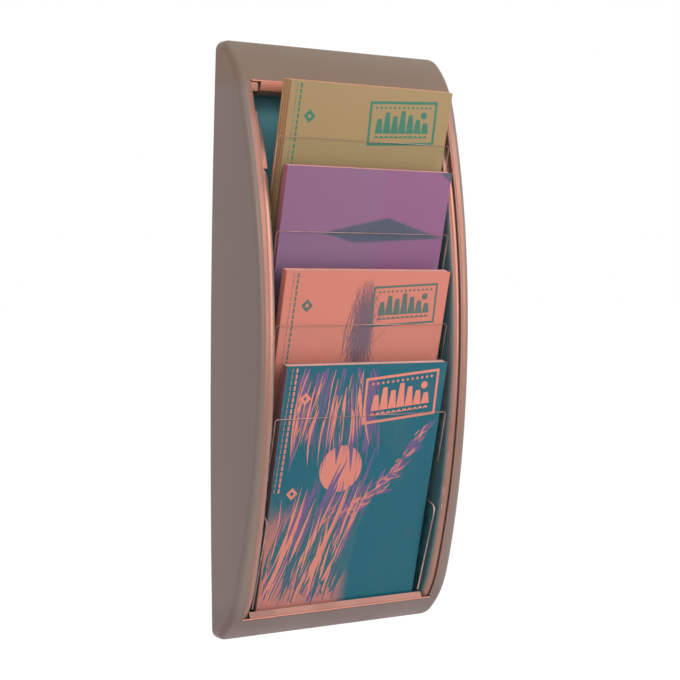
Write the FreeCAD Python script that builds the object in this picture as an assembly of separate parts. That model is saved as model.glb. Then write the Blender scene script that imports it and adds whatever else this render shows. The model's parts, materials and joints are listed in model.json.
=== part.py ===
import FreeCAD, Part
import math
import os

# Wall brochure holder: a bowed silver frame with four tilted clear pockets, one above the other.
# The top pocket holds a stack of four copies and the others one brochure each, which slide up and out.
# Millimetres. X is across, Y runs into the wall, Z is up.
# The origin is the centre of the four wall screws, on the wall's face, so the front looks along -Y.

V = FreeCAD.Vector

# Frame, outside
HEIGHT = 648.0
CHEEK_FLARE = 9.2
SIDE_BULGE = 3.9
CORNER_RADIUS = 11.0
DEPTH = 92.5
BOW_SAG = 39.0
BOW_JOIN_SHARE = 0.815
END_DEPTH = 9.9
CREST_LEDGE = 7.9
CREST_BULGE = 2.2
SIDE_CAMBER = 1.8
LOFT_SHARES = (0.0, 0.55, 1.1)
CREST_ROUND = 7.0
SKIN = 3.0

# Frame, window
HOOD_HEIGHT = 46.0
BASE_HEIGHT = 26.0
WINDOW_LIP = 2.5
LIP_DEPTH = 13.0
HOOD_SHELF_DEPTH = 30.0
HOOD_ROLL = 13.0
HOOD_ROLL_WALL = 2.5
HOOD_ROLL_GAP = 1.5
WINDOW_ROUND = 1.5

# Side rails
RAIL_WIDTH = 10.2
RAIL_SEAM = 0.5
RAIL_DROP = 3.0
RAIL_WALL = 2.2
RAIL_ROUND = 7.0
RAIL_EDGE_ROUND = 1.5
RAIL_WEB = 12.0
RAIL_WEBS = 5
WEBS_PER_SCREW = 2
SCOOP_LENGTH = 93.0
SCOOP_DEPTH = 34.0
SCOOP_START_DROP = 3.0
SCOOP_SAG = 5.0
SCOOP_ROUND = 2.0
NOTCH_REACH = 8.0
NOTCH_HEIGHT = 14.0
NOTCH_DEPTH = 14.0
TONGUE_DEPTH = 44.0
TONGUE_HEIGHT = 10.0
TONGUE_GAP = 12.0

# Back panel
PANEL = 3.0
PANEL_STANDOFF = 2.0
PANEL_GAP = 0.6
COVE_WALL = 1.6
WALL_HOLE_DIAMETER = 5.2
WALL_HOLE_SPACING_X = 110.0
WALL_HOLE_SPACING_Z = 480.0
WALL_PAD_DIAMETER = 15.0

# Assembly screws
SCREW_DIAMETER = 2.9
SCREW_HEAD_DIAMETER = 6.0
SCREW_CROWN_DIAMETER = 4.4
SCREW_HEAD = 1.6
SCREW_LENGTH = 14.0
SCREW_POST_DIAMETER = 9.0
POST_HOLE_DIAMETER = 3.1
PANEL_HOLE_DIAMETER = 3.4
END_SCREWS = 2
END_SCREW_SPACING = 150.0
END_SCREW_INSET = 18.0

# Clear pockets
POCKETS = 4
POCKET_TILT = 13.5
TOP_FLOOR_DROP = 274.0
BOTTOM_FLOOR_RISE = 5.0
POCKET_REACH = 29.0
POCKET_PLAY = 3.0
SHEET = 2.0
BEND_RADIUS = 1.0
FRONT_LENGTH = 221.0
FRONT_CORNER = 3.0
WING_PASS = 15.7
WING_LEAD = 9.0
WING_GAP = 9.1
WING_ROUND = 8.0
LUG_LENGTH = 9.0
LUG_THICKNESS = 3.0
LUG_FIT = 0.2
LOW_LUG_RISE = 20.0
HIGH_LUG_DROP = 24.0
LUG_SETBACK = 5.0
TAB_WIDTH = 14.0
TAB_SPACING = 120.0
TAB_REACH = 4.5
TAB_FIT = 0.3

# Brochures, from the top pocket down
BROCHURE_WIDTHS = (206.0, 210.0, 210.0, 206.0)
BROCHURE_SHIFTS = (2.0, -1.0, 0.0, 0.0)
BROCHURE_PLAY = 5.0
BROCHURE_LENGTHS = (279.0, 290.0, 280.0, 278.5)
BROCHURE_THICKNESSES = (14.0, 10.0, 10.0, 10.0)
BROCHURE_COPIES = (4, 1, 1, 1)
COPY_GAP = 0.1
COPY_SHIFT = 0.8
COVER = 0.5
PAGE_TRIM = 0.6
SPINE_ROUND = 1.2

# Clearances and helpers
FIT = 0.2
REST_GAP = 0.4
OVERRUN = 5.0
SAME_PLACE = 0.01

HALF_HEIGHT = HEIGHT / 2
HALF_POCKET = max(BROCHURE_WIDTHS) / 2 + BROCHURE_PLAY
HALF_INTERIOR = HALF_POCKET + POCKET_PLAY
RAIL_OUTSIDE = HALF_INTERIOR + RAIL_WIDTH
HALF_WINDOW = RAIL_OUTSIDE + RAIL_SEAM
HALF_CREST = HALF_WINDOW + CREST_LEDGE
HALF_END = HALF_CREST + CHEEK_FLARE
WINDOW_TOP = HALF_HEIGHT - HOOD_HEIGHT
WINDOW_BOTTOM = BASE_HEIGHT - HALF_HEIGHT
PANEL_FRONT = PANEL_STANDOFF + PANEL
RAIL_BACK = PANEL_FRONT + FIT
SCOOP_LOW = WINDOW_TOP - SCOOP_LENGTH

# Pockets in steps: each stands one pitch below the next, tilted, with a spacing square to its sheet
TILT = math.radians(POCKET_TILT)
TOP_FLOOR = WINDOW_TOP - TOP_FLOOR_DROP
BOTTOM_FLOOR = WINDOW_BOTTOM + BOTTOM_FLOOR_RISE
POCKET_PITCH = (TOP_FLOOR - BOTTOM_FLOOR) / (POCKETS - 1)
POCKET_SPACING = POCKET_PITCH * math.sin(TILT)
WING_LENGTH = POCKET_PITCH * math.cos(TILT) + WING_PASS
WING_TOP_DEPTH = POCKET_SPACING - SHEET - WING_GAP
LUG_HEIGHTS = (LOW_LUG_RISE, WING_LENGTH - HIGH_LUG_DROP)


# Basic shapes

def block(x0, x1, d0, d1, z0, z1):
    """Box between two widths, two depths in front of the wall and two heights."""
    corner = V(min(x0, x1), -max(d0, d1), min(z0, z1))
    return Part.makeBox(abs(x1 - x0), abs(d1 - d0), abs(z1 - z0), corner)


def side_point(depth, height):
    """Point of a side view: a depth in front of the wall and a height."""
    return V(0, -depth, height)


def line(a, b):
    return Part.makeLine(a, b)


def arc(a, middle, b):
    return Part.Arc(a, middle, b).toShape()


def prism(edges, x0, x1):
    """Solid with a closed side view, from one width to another."""
    face = Part.Face(Part.Wire(edges))
    face.translate(V(x0, 0, 0))
    return face.extrude(V(x1 - x0, 0, 0))


def rod(x, z, diameter, d0, d1):
    """Cylinder square to the wall, from one depth to another."""
    return Part.makeCylinder(diameter / 2, d1 - d0, V(x, -d0, z), V(0, -1, 0))


def mirrored(shape):
    return shape.mirror(V(0, 0, 0), V(1, 0, 0))


def edges_at_width(shape, x):
    """Edges that lie in the plane at one width."""
    found = []
    for edge in shape.Edges:
        box = edge.BoundBox
        if abs(box.XMin - x) < SAME_PLACE and abs(box.XMax - x) < SAME_PLACE:
            found.append(edge)
    return found


# Bow of the front: a long arc that falls by its sag, then a tighter tangent arc to the depth of each end

JOIN_HEIGHT = BOW_JOIN_SHARE * HALF_HEIGHT
BOW_RADIUS = (JOIN_HEIGHT ** 2 + BOW_SAG ** 2) / (2 * BOW_SAG)
JOIN_ANGLE = math.asin(JOIN_HEIGHT / BOW_RADIUS)
END_RISE = HALF_HEIGHT - JOIN_HEIGHT
END_FALL = DEPTH - BOW_SAG - END_DEPTH
END_OFFSET = END_FALL * math.cos(JOIN_ANGLE) - END_RISE * math.sin(JOIN_ANGLE)
END_BOW_RADIUS = (END_RISE ** 2 + END_FALL ** 2) / (2 * END_OFFSET)
MAIN_CENTRE_DEPTH = DEPTH - BOW_RADIUS
END_CENTRE_DEPTH = MAIN_CENTRE_DEPTH + (BOW_RADIUS - END_BOW_RADIUS) * math.cos(JOIN_ANGLE)
END_CENTRE_HEIGHT = (BOW_RADIUS - END_BOW_RADIUS) * math.sin(JOIN_ANGLE)


def bow_depth(height, inset=0.0):
    """Depth of the front at a height, for the bow moved back by an inset."""
    join_height = (BOW_RADIUS - inset) * math.sin(JOIN_ANGLE)
    if abs(height) <= join_height:
        radius = BOW_RADIUS - inset
        return MAIN_CENTRE_DEPTH + math.sqrt(radius ** 2 - height ** 2)
    radius = END_BOW_RADIUS - inset
    offset = abs(height) - END_CENTRE_HEIGHT
    return END_CENTRE_DEPTH + math.sqrt(radius ** 2 - offset ** 2)


def bow_point(height, inset=0.0):
    return side_point(bow_depth(height, inset), height)


def bow_edges(low, high, inset=0.0):
    """Edges along the bow from a low height to a high one."""
    join_height = (BOW_RADIUS - inset) * math.sin(JOIN_ANGLE)
    stops = [low]
    for stop in (-join_height, join_height):
        if low < stop < high:
            stops.append(stop)
    stops.append(high)
    edges = []
    for start, end in zip(stops, stops[1:]):
        middle = (start + end) / 2
        edges.append(arc(bow_point(start, inset), bow_point(middle, inset), bow_point(end, inset)))
    return edges


def bow_prism(x0, x1, low, high, back, inset=0.0):
    """Solid between two widths and two heights, from a back depth to the bow."""
    edges = bow_edges(low, high, inset)
    edges.append(line(bow_point(high, inset), side_point(back, high)))
    edges.append(line(side_point(back, high), side_point(back, low)))
    edges.append(line(side_point(back, low), bow_point(low, inset)))
    return prism(edges, x0, x1)


# Outer frame

def outline(half_end, bulge, half_height, corner, depth):
    """Closed front view with bowed sides and rounded corners, all tangent, at one depth."""
    lean = 2 * math.atan(bulge / (half_height - corner))
    side_end = half_height - corner * (1 - math.sin(lean))
    half_middle = half_end + side_end * math.tan(lean / 2)
    centre_x = half_end - corner * math.cos(lean)
    centre_z = half_height - corner
    middle_angle = (lean + math.pi / 2) / 2

    def at(x, z):
        return V(x, -depth, z)

    def corner_arc(sx, sz):
        middle_x = centre_x + corner * math.cos(middle_angle)
        middle_z = centre_z + corner * math.sin(middle_angle)
        return arc(at(sx * centre_x, sz * half_height), at(sx * middle_x, sz * middle_z),
                   at(sx * half_end, sz * side_end))

    def end_line(sz):
        return line(at(-centre_x, sz * half_height), at(centre_x, sz * half_height))

    def side_arc(sx):
        return arc(at(sx * half_end, side_end), at(sx * half_middle, 0), at(sx * half_end, -side_end))

    return Part.Wire([end_line(1), corner_arc(1, 1), side_arc(1), corner_arc(1, -1),
                      end_line(-1), corner_arc(-1, -1), side_arc(-1), corner_arc(-1, 1)])


def frame_outline(inset, depth_share):
    """Frame's front view at a share of its depth, moved in by an inset."""
    swell = 4 * SIDE_CAMBER * depth_share * (1 - depth_share)
    width = HALF_END - CHEEK_FLARE * depth_share + swell - inset
    bulge = SIDE_BULGE + (CREST_BULGE - SIDE_BULGE) * depth_share
    return outline(width, bulge, HALF_HEIGHT - inset, CORNER_RADIUS - inset, DEPTH * depth_share)


def frame_form(inset):
    """Outer form of the frame, moved in by an inset and open to the wall."""
    sections = [frame_outline(inset, share) for share in LOFT_SHARES]
    body = Part.makeLoft(sections, True, False)
    reach = HALF_END + SIDE_BULGE + OVERRUN
    bowed = body.common(bow_prism(-reach, reach, inset - HALF_HEIGHT, HALF_HEIGHT - inset, 0, inset))
    return bowed.Solids[0]


def front_edges(form, least_depth):
    """Edges of a form that lie away from the wall."""
    return [edge for edge in form.Edges if -edge.BoundBox.YMax > least_depth]


def post_places():
    """Widths and heights of the screw posts in the base and the hood."""
    places = []
    for end in (-1, 1):
        for index in range(END_SCREWS):
            x = (index - (END_SCREWS - 1) / 2) * END_SCREW_SPACING
            places.append((x, end * (HALF_HEIGHT - END_SCREW_INSET)))
    return places


def window_edges(form):
    """Front edges of the window, all round it."""
    found = []
    for edge in front_edges(form, SKIN):
        box = edge.BoundBox
        inside = max(abs(box.XMin), abs(box.XMax)) < HALF_WINDOW + FIT
        if inside and box.ZMin > WINDOW_BOTTOM - FIT and box.ZMax < WINDOW_TOP + FIT:
            found.append(edge)
    return found


def make_hood_roll():
    """Edge of the hood that curls back and under, between the rails."""
    half = HALF_INTERIOR - HOOD_ROLL_GAP
    inner = HOOD_ROLL - HOOD_ROLL_WALL
    centre = side_point(bow_depth(WINDOW_TOP) - WINDOW_ROUND - HOOD_ROLL, WINDOW_TOP)

    def at(forward, down):
        return centre - V(0, forward, down)

    def curl(radius):
        bend = radius * math.sqrt(0.5)
        return arc(at(radius, 0), at(bend, bend), at(0, radius))

    edges = [curl(HOOD_ROLL), line(at(0, HOOD_ROLL), at(0, inner)), curl(inner), line(at(inner, 0), at(inner, -FIT)),
             line(at(inner, -FIT), at(HOOD_ROLL, -FIT)), line(at(HOOD_ROLL, -FIT), at(HOOD_ROLL, 0))]
    return prism(edges, -half, half)


def make_outer_shell():
    """Skin with a lip behind the window's edge, a shelf under the hood and one above the base."""
    form = frame_form(0)
    form = form.makeFillet(CREST_ROUND, front_edges(form, SKIN))
    window = block(-HALF_WINDOW, HALF_WINDOW, -OVERRUN, DEPTH + OVERRUN, WINDOW_BOTTOM, WINDOW_TOP)
    form = form.cut(window)
    form = form.makeFillet(WINDOW_ROUND, window_edges(form))
    side = HALF_WINDOW + WINDOW_LIP
    top = WINDOW_TOP + WINDOW_LIP
    bottom = WINDOW_BOTTOM - WINDOW_LIP
    hollow = frame_form(SKIN).cut(block(-side, side, -OVERRUN, DEPTH + OVERRUN, bottom, top))
    for x, z in post_places():
        hollow = hollow.cut(rod(x, z, SCREW_POST_DIAMETER, RAIL_BACK, DEPTH))
    shelf_back = bow_depth(WINDOW_TOP) - HOOD_SHELF_DEPTH
    shell = form.cut(hollow)
    shell = shell.cut(bow_prism(-side, side, WINDOW_BOTTOM, WINDOW_TOP, -OVERRUN, LIP_DEPTH))
    shell = shell.cut(block(-side, side, -OVERRUN, shelf_back, WINDOW_TOP - FIT, top))
    shell = shell.cut(block(-side, side, -OVERRUN, RAIL_BACK, bottom, WINDOW_BOTTOM + FIT))
    for x, z in post_places():
        shell = shell.cut(rod(x, z, POST_HOLE_DIAMETER, 0, PANEL_STANDOFF + SCREW_LENGTH))
    return shell.fuse(make_hood_roll()).removeSplitter()


# Side rails

def make_rail_bar():
    """Lower part of a rail: its front follows the bow, with a soft inner edge."""
    bar = bow_prism(HALF_INTERIOR, RAIL_OUTSIDE, WINDOW_BOTTOM + FIT, SCOOP_LOW, RAIL_BACK, RAIL_DROP)
    for x, radius in ((HALF_INTERIOR, RAIL_ROUND), (RAIL_OUTSIDE, RAIL_EDGE_ROUND)):
        edges = [edge for edge in edges_at_width(bar, x)
                 if edge.BoundBox.ZLength > FIT and -edge.BoundBox.YMax > RAIL_BACK + FIT]
        bar = bar.makeFillet(radius, edges)
    return bar


def make_rail_scoop():
    """Upper part of a rail: it sweeps back in a scoop and ends in a tongue under the hood."""
    high = WINDOW_TOP - FIT
    tongue_low = high - TONGUE_HEIGHT
    scoop_high = tongue_low - TONGUE_GAP
    start = side_point(bow_depth(SCOOP_LOW, RAIL_DROP) - SCOOP_START_DROP, SCOOP_LOW)
    end = side_point(SCOOP_DEPTH, scoop_high)
    middle = side_point((start.y + end.y) / -2 + SCOOP_SAG, (SCOOP_LOW + scoop_high) / 2)
    points = [end, side_point(SCOOP_DEPTH, tongue_low), side_point(TONGUE_DEPTH, tongue_low),
              side_point(TONGUE_DEPTH, high), side_point(RAIL_BACK, high), side_point(RAIL_BACK, SCOOP_LOW), start]
    edges = [arc(start, middle, end)]
    edges.extend(line(a, b) for a, b in zip(points, points[1:]))
    scoop = prism(edges, HALF_INTERIOR, RAIL_OUTSIDE)
    sweep = [edge for edge in edges_at_width(scoop, HALF_INTERIOR) if edge.Curve.TypeId == "Part::GeomCircle"]
    return scoop.makeFillet(SCOOP_ROUND, sweep)


def make_notch():
    """Room of the notch that mitres the bar's inner edge below the scoop."""
    front = bow_depth(SCOOP_LOW)
    x0 = HALF_INTERIOR - FIT
    corners = [V(x0, -front, SCOOP_LOW), V(HALF_INTERIOR + NOTCH_REACH, -front, SCOOP_LOW),
               V(x0, -front, SCOOP_LOW - NOTCH_HEIGHT)]
    face = Part.Face(Part.makePolygon(corners + corners[:1]))
    room = face.extrude(V(0, RAIL_DROP + NOTCH_DEPTH, 0))
    return room.fuse(face.extrude(V(0, -OVERRUN, 0)))


def web_heights():
    """Heights of the solid webs that take a rail's screws."""
    low = WINDOW_BOTTOM + RAIL_WEB
    high = WINDOW_TOP - RAIL_WEB
    return [low + (high - low) * index / (RAIL_WEBS - 1) for index in range(RAIL_WEBS)]


def rail_screw_places():
    x = (HALF_INTERIOR + RAIL_OUTSIDE) / 2
    return [(x, z) for z in web_heights()[::WEBS_PER_SCREW]]


def lug(index, height, grow, x0, x1):
    """Flat lug of a pocket, or with growth the slot in the rail that it clips into."""
    thickness = LUG_THICKNESS + 2 * grow
    length = LUG_LENGTH + 2 * grow
    corner = V(x0, LUG_SETBACK - thickness / 2, height - length / 2)
    return seated(Part.makeBox(x1 - x0, thickness, length, corner), index)


def make_right_rail():
    rail = make_rail_bar().fuse(make_rail_scoop()).removeSplitter()
    rail = rail.cut(make_notch())
    bay_x0 = HALF_INTERIOR + RAIL_WALL
    bay_x1 = RAIL_OUTSIDE - RAIL_WALL
    webs = web_heights()
    for low, high in zip(webs, webs[1:]):
        bay_low = low + RAIL_WEB / 2
        bay_high = high - RAIL_WEB / 2
        if high < SCOOP_LOW:
            bay = bow_prism(bay_x0, bay_x1, bay_low, bay_high, 0, RAIL_DROP + RAIL_ROUND / 2 + RAIL_WALL)
        else:
            bay = block(bay_x0, bay_x1, 0, SCOOP_DEPTH - RAIL_WALL, bay_low, bay_high)
        rail = rail.cut(bay)
    for x, z in rail_screw_places():
        rail = rail.cut(rod(x, z, POST_HOLE_DIAMETER, 0, PANEL_STANDOFF + SCREW_LENGTH))
    hole_end = HALF_INTERIOR + RAIL_WALL + REST_GAP
    for index in range(POCKETS):
        for height in LUG_HEIGHTS:
            rail = rail.cut(lug(index, height, LUG_FIT, HALF_INTERIOR - OVERRUN, hole_end))
    return rail


# Back panel

def panel_outline():
    inset = SKIN + PANEL_GAP
    return outline(HALF_END - inset, SIDE_BULGE, HALF_HEIGHT - inset, CORNER_RADIUS - inset, PANEL_STANDOFF)


def wall_hole_places():
    return [(sx * WALL_HOLE_SPACING_X / 2, sz * WALL_HOLE_SPACING_Z / 2) for sx in (-1, 1) for sz in (-1, 1)]


def make_cove():
    """Curved flange that carries the panel's black forward to the hood's shelf."""
    radius = bow_depth(WINDOW_TOP) - HOOD_SHELF_DEPTH - PANEL_FRONT - PANEL_GAP
    half = HALF_INTERIOR - PANEL_GAP
    bend = radius * math.sqrt(0.5)
    centre = side_point(PANEL_FRONT + radius, WINDOW_TOP - radius)
    outer = radius + COVE_WALL
    outer_bend = outer * math.sqrt(0.5)
    tip = centre + V(0, 0, radius)
    outer_tip = centre + V(0, 0, outer)
    foot = centre + V(0, radius, 0)
    outer_foot = centre + V(0, outer, 0)
    edges = [arc(foot, centre + V(0, bend, bend), tip), line(tip, outer_tip),
             arc(outer_tip, centre + V(0, outer_bend, outer_bend), outer_foot), line(outer_foot, foot)]
    return prism(edges, -half, half)


def tab_box(index, side, grow):
    """Room for one of a pocket's tabs where it passes the panel."""
    floor_depth = pocket_floor_depth()
    low = floor_depth * math.sin(TILT) - SHEET * math.cos(TILT)
    high = (floor_depth + TAB_REACH) * math.sin(TILT)
    x = side * TAB_SPACING / 2
    half = TAB_WIDTH / 2 + grow
    floor = floor_height(index)
    return block(x - half, x + half, -OVERRUN, PANEL_FRONT + OVERRUN, floor + low - grow, floor + high + grow)


def make_back_panel():
    panel = Part.Face(panel_outline()).extrude(V(0, -PANEL, 0))
    panel = panel.fuse(make_cove())
    for x, z in wall_hole_places():
        panel = panel.fuse(rod(x, z, WALL_PAD_DIAMETER, 0, PANEL_FRONT))
    for x, z in wall_hole_places():
        panel = panel.cut(rod(x, z, WALL_HOLE_DIAMETER, -OVERRUN, PANEL_FRONT + OVERRUN))
    for x, z in panel_screw_places():
        panel = panel.cut(rod(x, z, PANEL_HOLE_DIAMETER, -OVERRUN, PANEL_FRONT + OVERRUN))
    for index in range(POCKETS):
        for side in (-1, 1):
            panel = panel.cut(tab_box(index, side, TAB_FIT))
    return panel.removeSplitter()


# Assembly screws

def panel_screw_places():
    rail = rail_screw_places()
    return post_places() + rail + [(-x, z) for x, z in rail]


def screw(x, z):
    """Pan head screw, its head in the gap behind the panel."""
    under_head = PANEL_STANDOFF - FIT / 2
    head_end = under_head - SCREW_HEAD
    crown = Part.makeCone(SCREW_CROWN_DIAMETER / 2, SCREW_HEAD_DIAMETER / 2, SCREW_HEAD, V(x, -head_end, z),
                          V(0, -1, 0))
    return crown.fuse(rod(x, z, SCREW_DIAMETER, under_head, under_head + SCREW_LENGTH - FIT))


def make_screws(places):
    return Part.makeCompound([screw(x, z) for x, z in places])


# Clear pockets, made upright and then tilted and seated

def floor_height(index):
    """Height of a pocket's floor, counted from the top pocket down."""
    return TOP_FLOOR - index * POCKET_PITCH


def pocket_floor_depth():
    """Length of a pocket's floor, from the front sheet to just before the panel."""
    return (POCKET_REACH - SHEET * math.sin(TILT) - RAIL_BACK) / math.cos(TILT)


def seated(shape, index):
    """Tilt an upright shape forward and set it on the line where a pocket's floor meets its front."""
    shape = shape.copy()
    shape.rotate(V(0, 0, 0), V(1, 0, 0), POCKET_TILT)
    shape.translate(side_point(POCKET_REACH, floor_height(index)))
    return shape


def bent_sheet():
    """Front sheet and floor in one bend, upright: Y runs back and Z up the front."""
    depth = pocket_floor_depth()
    outer = BEND_RADIUS + SHEET
    inner_mid = BEND_RADIUS * (1 - math.sqrt(0.5))
    outer_mid = BEND_RADIUS - outer * math.sqrt(0.5)

    def at(back, up):
        return V(0, back, up)

    edges = [line(at(0, BEND_RADIUS), at(0, FRONT_LENGTH)),
             line(at(0, FRONT_LENGTH), at(-SHEET, FRONT_LENGTH)),
             line(at(-SHEET, FRONT_LENGTH), at(-SHEET, BEND_RADIUS)),
             arc(at(-SHEET, BEND_RADIUS), at(outer_mid, outer_mid), at(BEND_RADIUS, -SHEET)),
             line(at(BEND_RADIUS, -SHEET), at(depth, -SHEET)),
             line(at(depth, -SHEET), at(depth, 0)),
             line(at(depth, 0), at(BEND_RADIUS, 0)),
             arc(at(BEND_RADIUS, 0), at(inner_mid, inner_mid), at(0, BEND_RADIUS))]
    sheet = prism(edges, -HALF_POCKET, HALF_POCKET)
    corners = [edge for edge in sheet.Edges
               if edge.BoundBox.ZMin > FRONT_LENGTH - FIT and edge.BoundBox.XLength < FIT]
    return sheet.makeFillet(FRONT_CORNER, corners)


def wing(side):
    """Side wall of a pocket, with a rounded front corner that leads the front sheet."""
    depth = pocket_floor_depth()
    points = [V(0, depth, -SHEET), V(0, BEND_RADIUS, -SHEET), V(0, -SHEET, BEND_RADIUS),
              V(0, -SHEET - WING_LEAD, WING_LENGTH), V(0, WING_TOP_DEPTH, WING_LENGTH)]
    edges = [line(a, b) for a, b in zip(points, points[1:] + points[:1])]
    x1 = side * HALF_POCKET
    x0 = x1 - side * SHEET
    plate = prism(edges, x0, x1)
    corner = [edge for edge in plate.Edges if edge.BoundBox.XLength > SHEET / 2
              and edge.BoundBox.ZMin > WING_LENGTH - FIT and edge.BoundBox.YMax < 0]
    return plate.makeFillet(WING_ROUND, corner)


def make_pocket(index):
    depth = pocket_floor_depth()
    upright = bent_sheet().fuse(wing(-1)).fuse(wing(1))
    for side in (-1, 1):
        x = side * TAB_SPACING / 2
        tab = Part.makeBox(TAB_WIDTH, TAB_REACH + SHEET, SHEET, V(x - TAB_WIDTH / 2, depth - SHEET, -SHEET))
        upright = upright.fuse(tab)
    pocket = seated(upright, index)
    lug_end = HALF_INTERIOR + RAIL_WALL
    for height in LUG_HEIGHTS:
        clip = lug(index, height, 0, HALF_POCKET - SHEET / 2, lug_end)
        pocket = pocket.fuse(clip).fuse(mirrored(clip))
    return pocket.removeSplitter()


# Brochures: covers wrapped round their spines at the left, and page blocks

def copy_thickness(index):
    """Thickness of one copy in a pocket."""
    copies = BROCHURE_COPIES[index]
    return (BROCHURE_THICKNESSES[index] - COPY_GAP * (copies - 1)) / copies


def copy_box(index, copy, inset, spine_inset, trim):
    """Upright box of a copy, less an inset front and back and a trim at its three cut edges."""
    width = BROCHURE_WIDTHS[index]
    thickness = copy_thickness(index)
    x = BROCHURE_SHIFTS[index] - COPY_SHIFT * copy - width / 2
    y = REST_GAP + (thickness + COPY_GAP) * copy
    return Part.makeBox(width - spine_inset - trim, thickness - 2 * inset, BROCHURE_LENGTHS[index] - 2 * trim,
                        V(x + spine_inset, y + inset, REST_GAP + trim))


def make_cover(index):
    covers = []
    for copy in range(BROCHURE_COPIES[index]):
        outside = copy_box(index, copy, 0, 0, 0)
        spine = [edge for edge in edges_at_width(outside, outside.BoundBox.XMin)
                 if edge.BoundBox.ZLength > edge.BoundBox.YLength]
        outside = outside.makeFillet(SPINE_ROUND, spine)
        covers.append(outside.cut(copy_box(index, copy, COVER, COVER, -OVERRUN)))
    return seated(Part.makeCompound(covers), index)


def make_pages(index):
    blocks = [copy_box(index, copy, COVER, COVER, PAGE_TRIM) for copy in range(BROCHURE_COPIES[index])]
    return seated(Part.makeCompound(blocks), index)


def build():
    right_rail = make_right_rail()
    nodes = {
        "outer_shell": make_outer_shell(),
        "back_panel": make_back_panel(),
        "right_rail": right_rail,
        "left_rail": mirrored(right_rail),
        "hood_screws": make_screws([place for place in post_places() if place[1] > 0]),
        "base_screws": make_screws([place for place in post_places() if place[1] < 0]),
        "right_rail_screws": make_screws(rail_screw_places()),
        "left_rail_screws": make_screws([(-x, z) for x, z in rail_screw_places()]),
    }
    for index in range(POCKETS):
        number = index + 1
        nodes[f"pocket_{number}"] = make_pocket(index)
        nodes[f"brochure_{number}_cover"] = make_cover(index)
        nodes[f"brochure_{number}_pages"] = make_pages(index)
    return nodes


def main():
    os.makedirs("parts", exist_ok=True)
    for name, shape in build().items():
        shape.exportStep(f"parts/{name}.step")
        print(name, len(shape.Solids), "solids", shape.isValid(), round(shape.Volume / 1000, 1), "cm3")


main()
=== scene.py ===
"""Wall brochure holder, dressed for the studio.

A bowed satin frame carries four clear pockets in steps, and each pocket holds brochures that slide
up and out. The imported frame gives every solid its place. This script gives each of them its finish,
prints the covers, adds the small fixings and sets the studio, the light and the camera.
"""
import json
import logging
import math
import random
from dataclasses import dataclass, field
from enum import Enum
from functools import reduce

import bmesh
import bpy
from mathutils import Matrix, Vector


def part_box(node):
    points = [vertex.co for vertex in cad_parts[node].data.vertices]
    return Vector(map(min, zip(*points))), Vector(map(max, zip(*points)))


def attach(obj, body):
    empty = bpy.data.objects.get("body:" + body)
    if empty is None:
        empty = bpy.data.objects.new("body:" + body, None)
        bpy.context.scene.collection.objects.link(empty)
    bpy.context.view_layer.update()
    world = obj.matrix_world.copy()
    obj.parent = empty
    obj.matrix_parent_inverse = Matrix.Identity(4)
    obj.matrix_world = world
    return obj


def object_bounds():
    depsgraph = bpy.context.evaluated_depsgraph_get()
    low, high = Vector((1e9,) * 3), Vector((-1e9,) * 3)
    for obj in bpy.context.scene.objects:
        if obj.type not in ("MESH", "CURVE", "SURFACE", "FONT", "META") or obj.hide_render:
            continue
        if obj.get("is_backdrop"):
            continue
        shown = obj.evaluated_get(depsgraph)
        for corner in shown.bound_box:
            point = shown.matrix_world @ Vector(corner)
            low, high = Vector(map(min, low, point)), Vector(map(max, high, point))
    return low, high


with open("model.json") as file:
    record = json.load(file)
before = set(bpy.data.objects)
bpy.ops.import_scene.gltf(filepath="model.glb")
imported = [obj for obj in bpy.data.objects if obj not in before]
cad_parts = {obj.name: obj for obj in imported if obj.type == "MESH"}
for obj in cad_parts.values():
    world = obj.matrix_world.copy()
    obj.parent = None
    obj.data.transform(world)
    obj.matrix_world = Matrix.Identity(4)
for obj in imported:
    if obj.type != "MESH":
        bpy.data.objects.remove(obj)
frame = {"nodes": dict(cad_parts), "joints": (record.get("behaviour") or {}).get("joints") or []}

LOG = logging.getLogger("brochure_holder")
MM = 0.001
HOLDER = "holder"
POCKETS = 4
SIDES = (-1, 1)
CREASE = math.radians(40)
WHITE = (1.0, 1.0, 1.0)
COATED = {"IOR": 1.35, "Coat_Weight": 0.05, "Coat_Roughness": 0.2}

Socket = bpy.types.NodeSocket
Material = bpy.types.Material
Mesh = bmesh.types.BMesh
Colour = tuple[float, float, float]
Point = tuple[float, float]


def from_screen(*seen: int) -> Colour:
    """Turn a colour as seen on a screen into the linear values that shaders use.

    Args:
        *seen: Red, green and blue as seen, 0 to 255.

    Returns:
        The three linear values, 0 to 1.
    """
    shares = [value / 255 for value in seen]
    return tuple(s / 12.92 if s <= 0.04045 else ((s + 0.055) / 1.055) ** 2.4 for s in shares)


# Shader graphs

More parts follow.
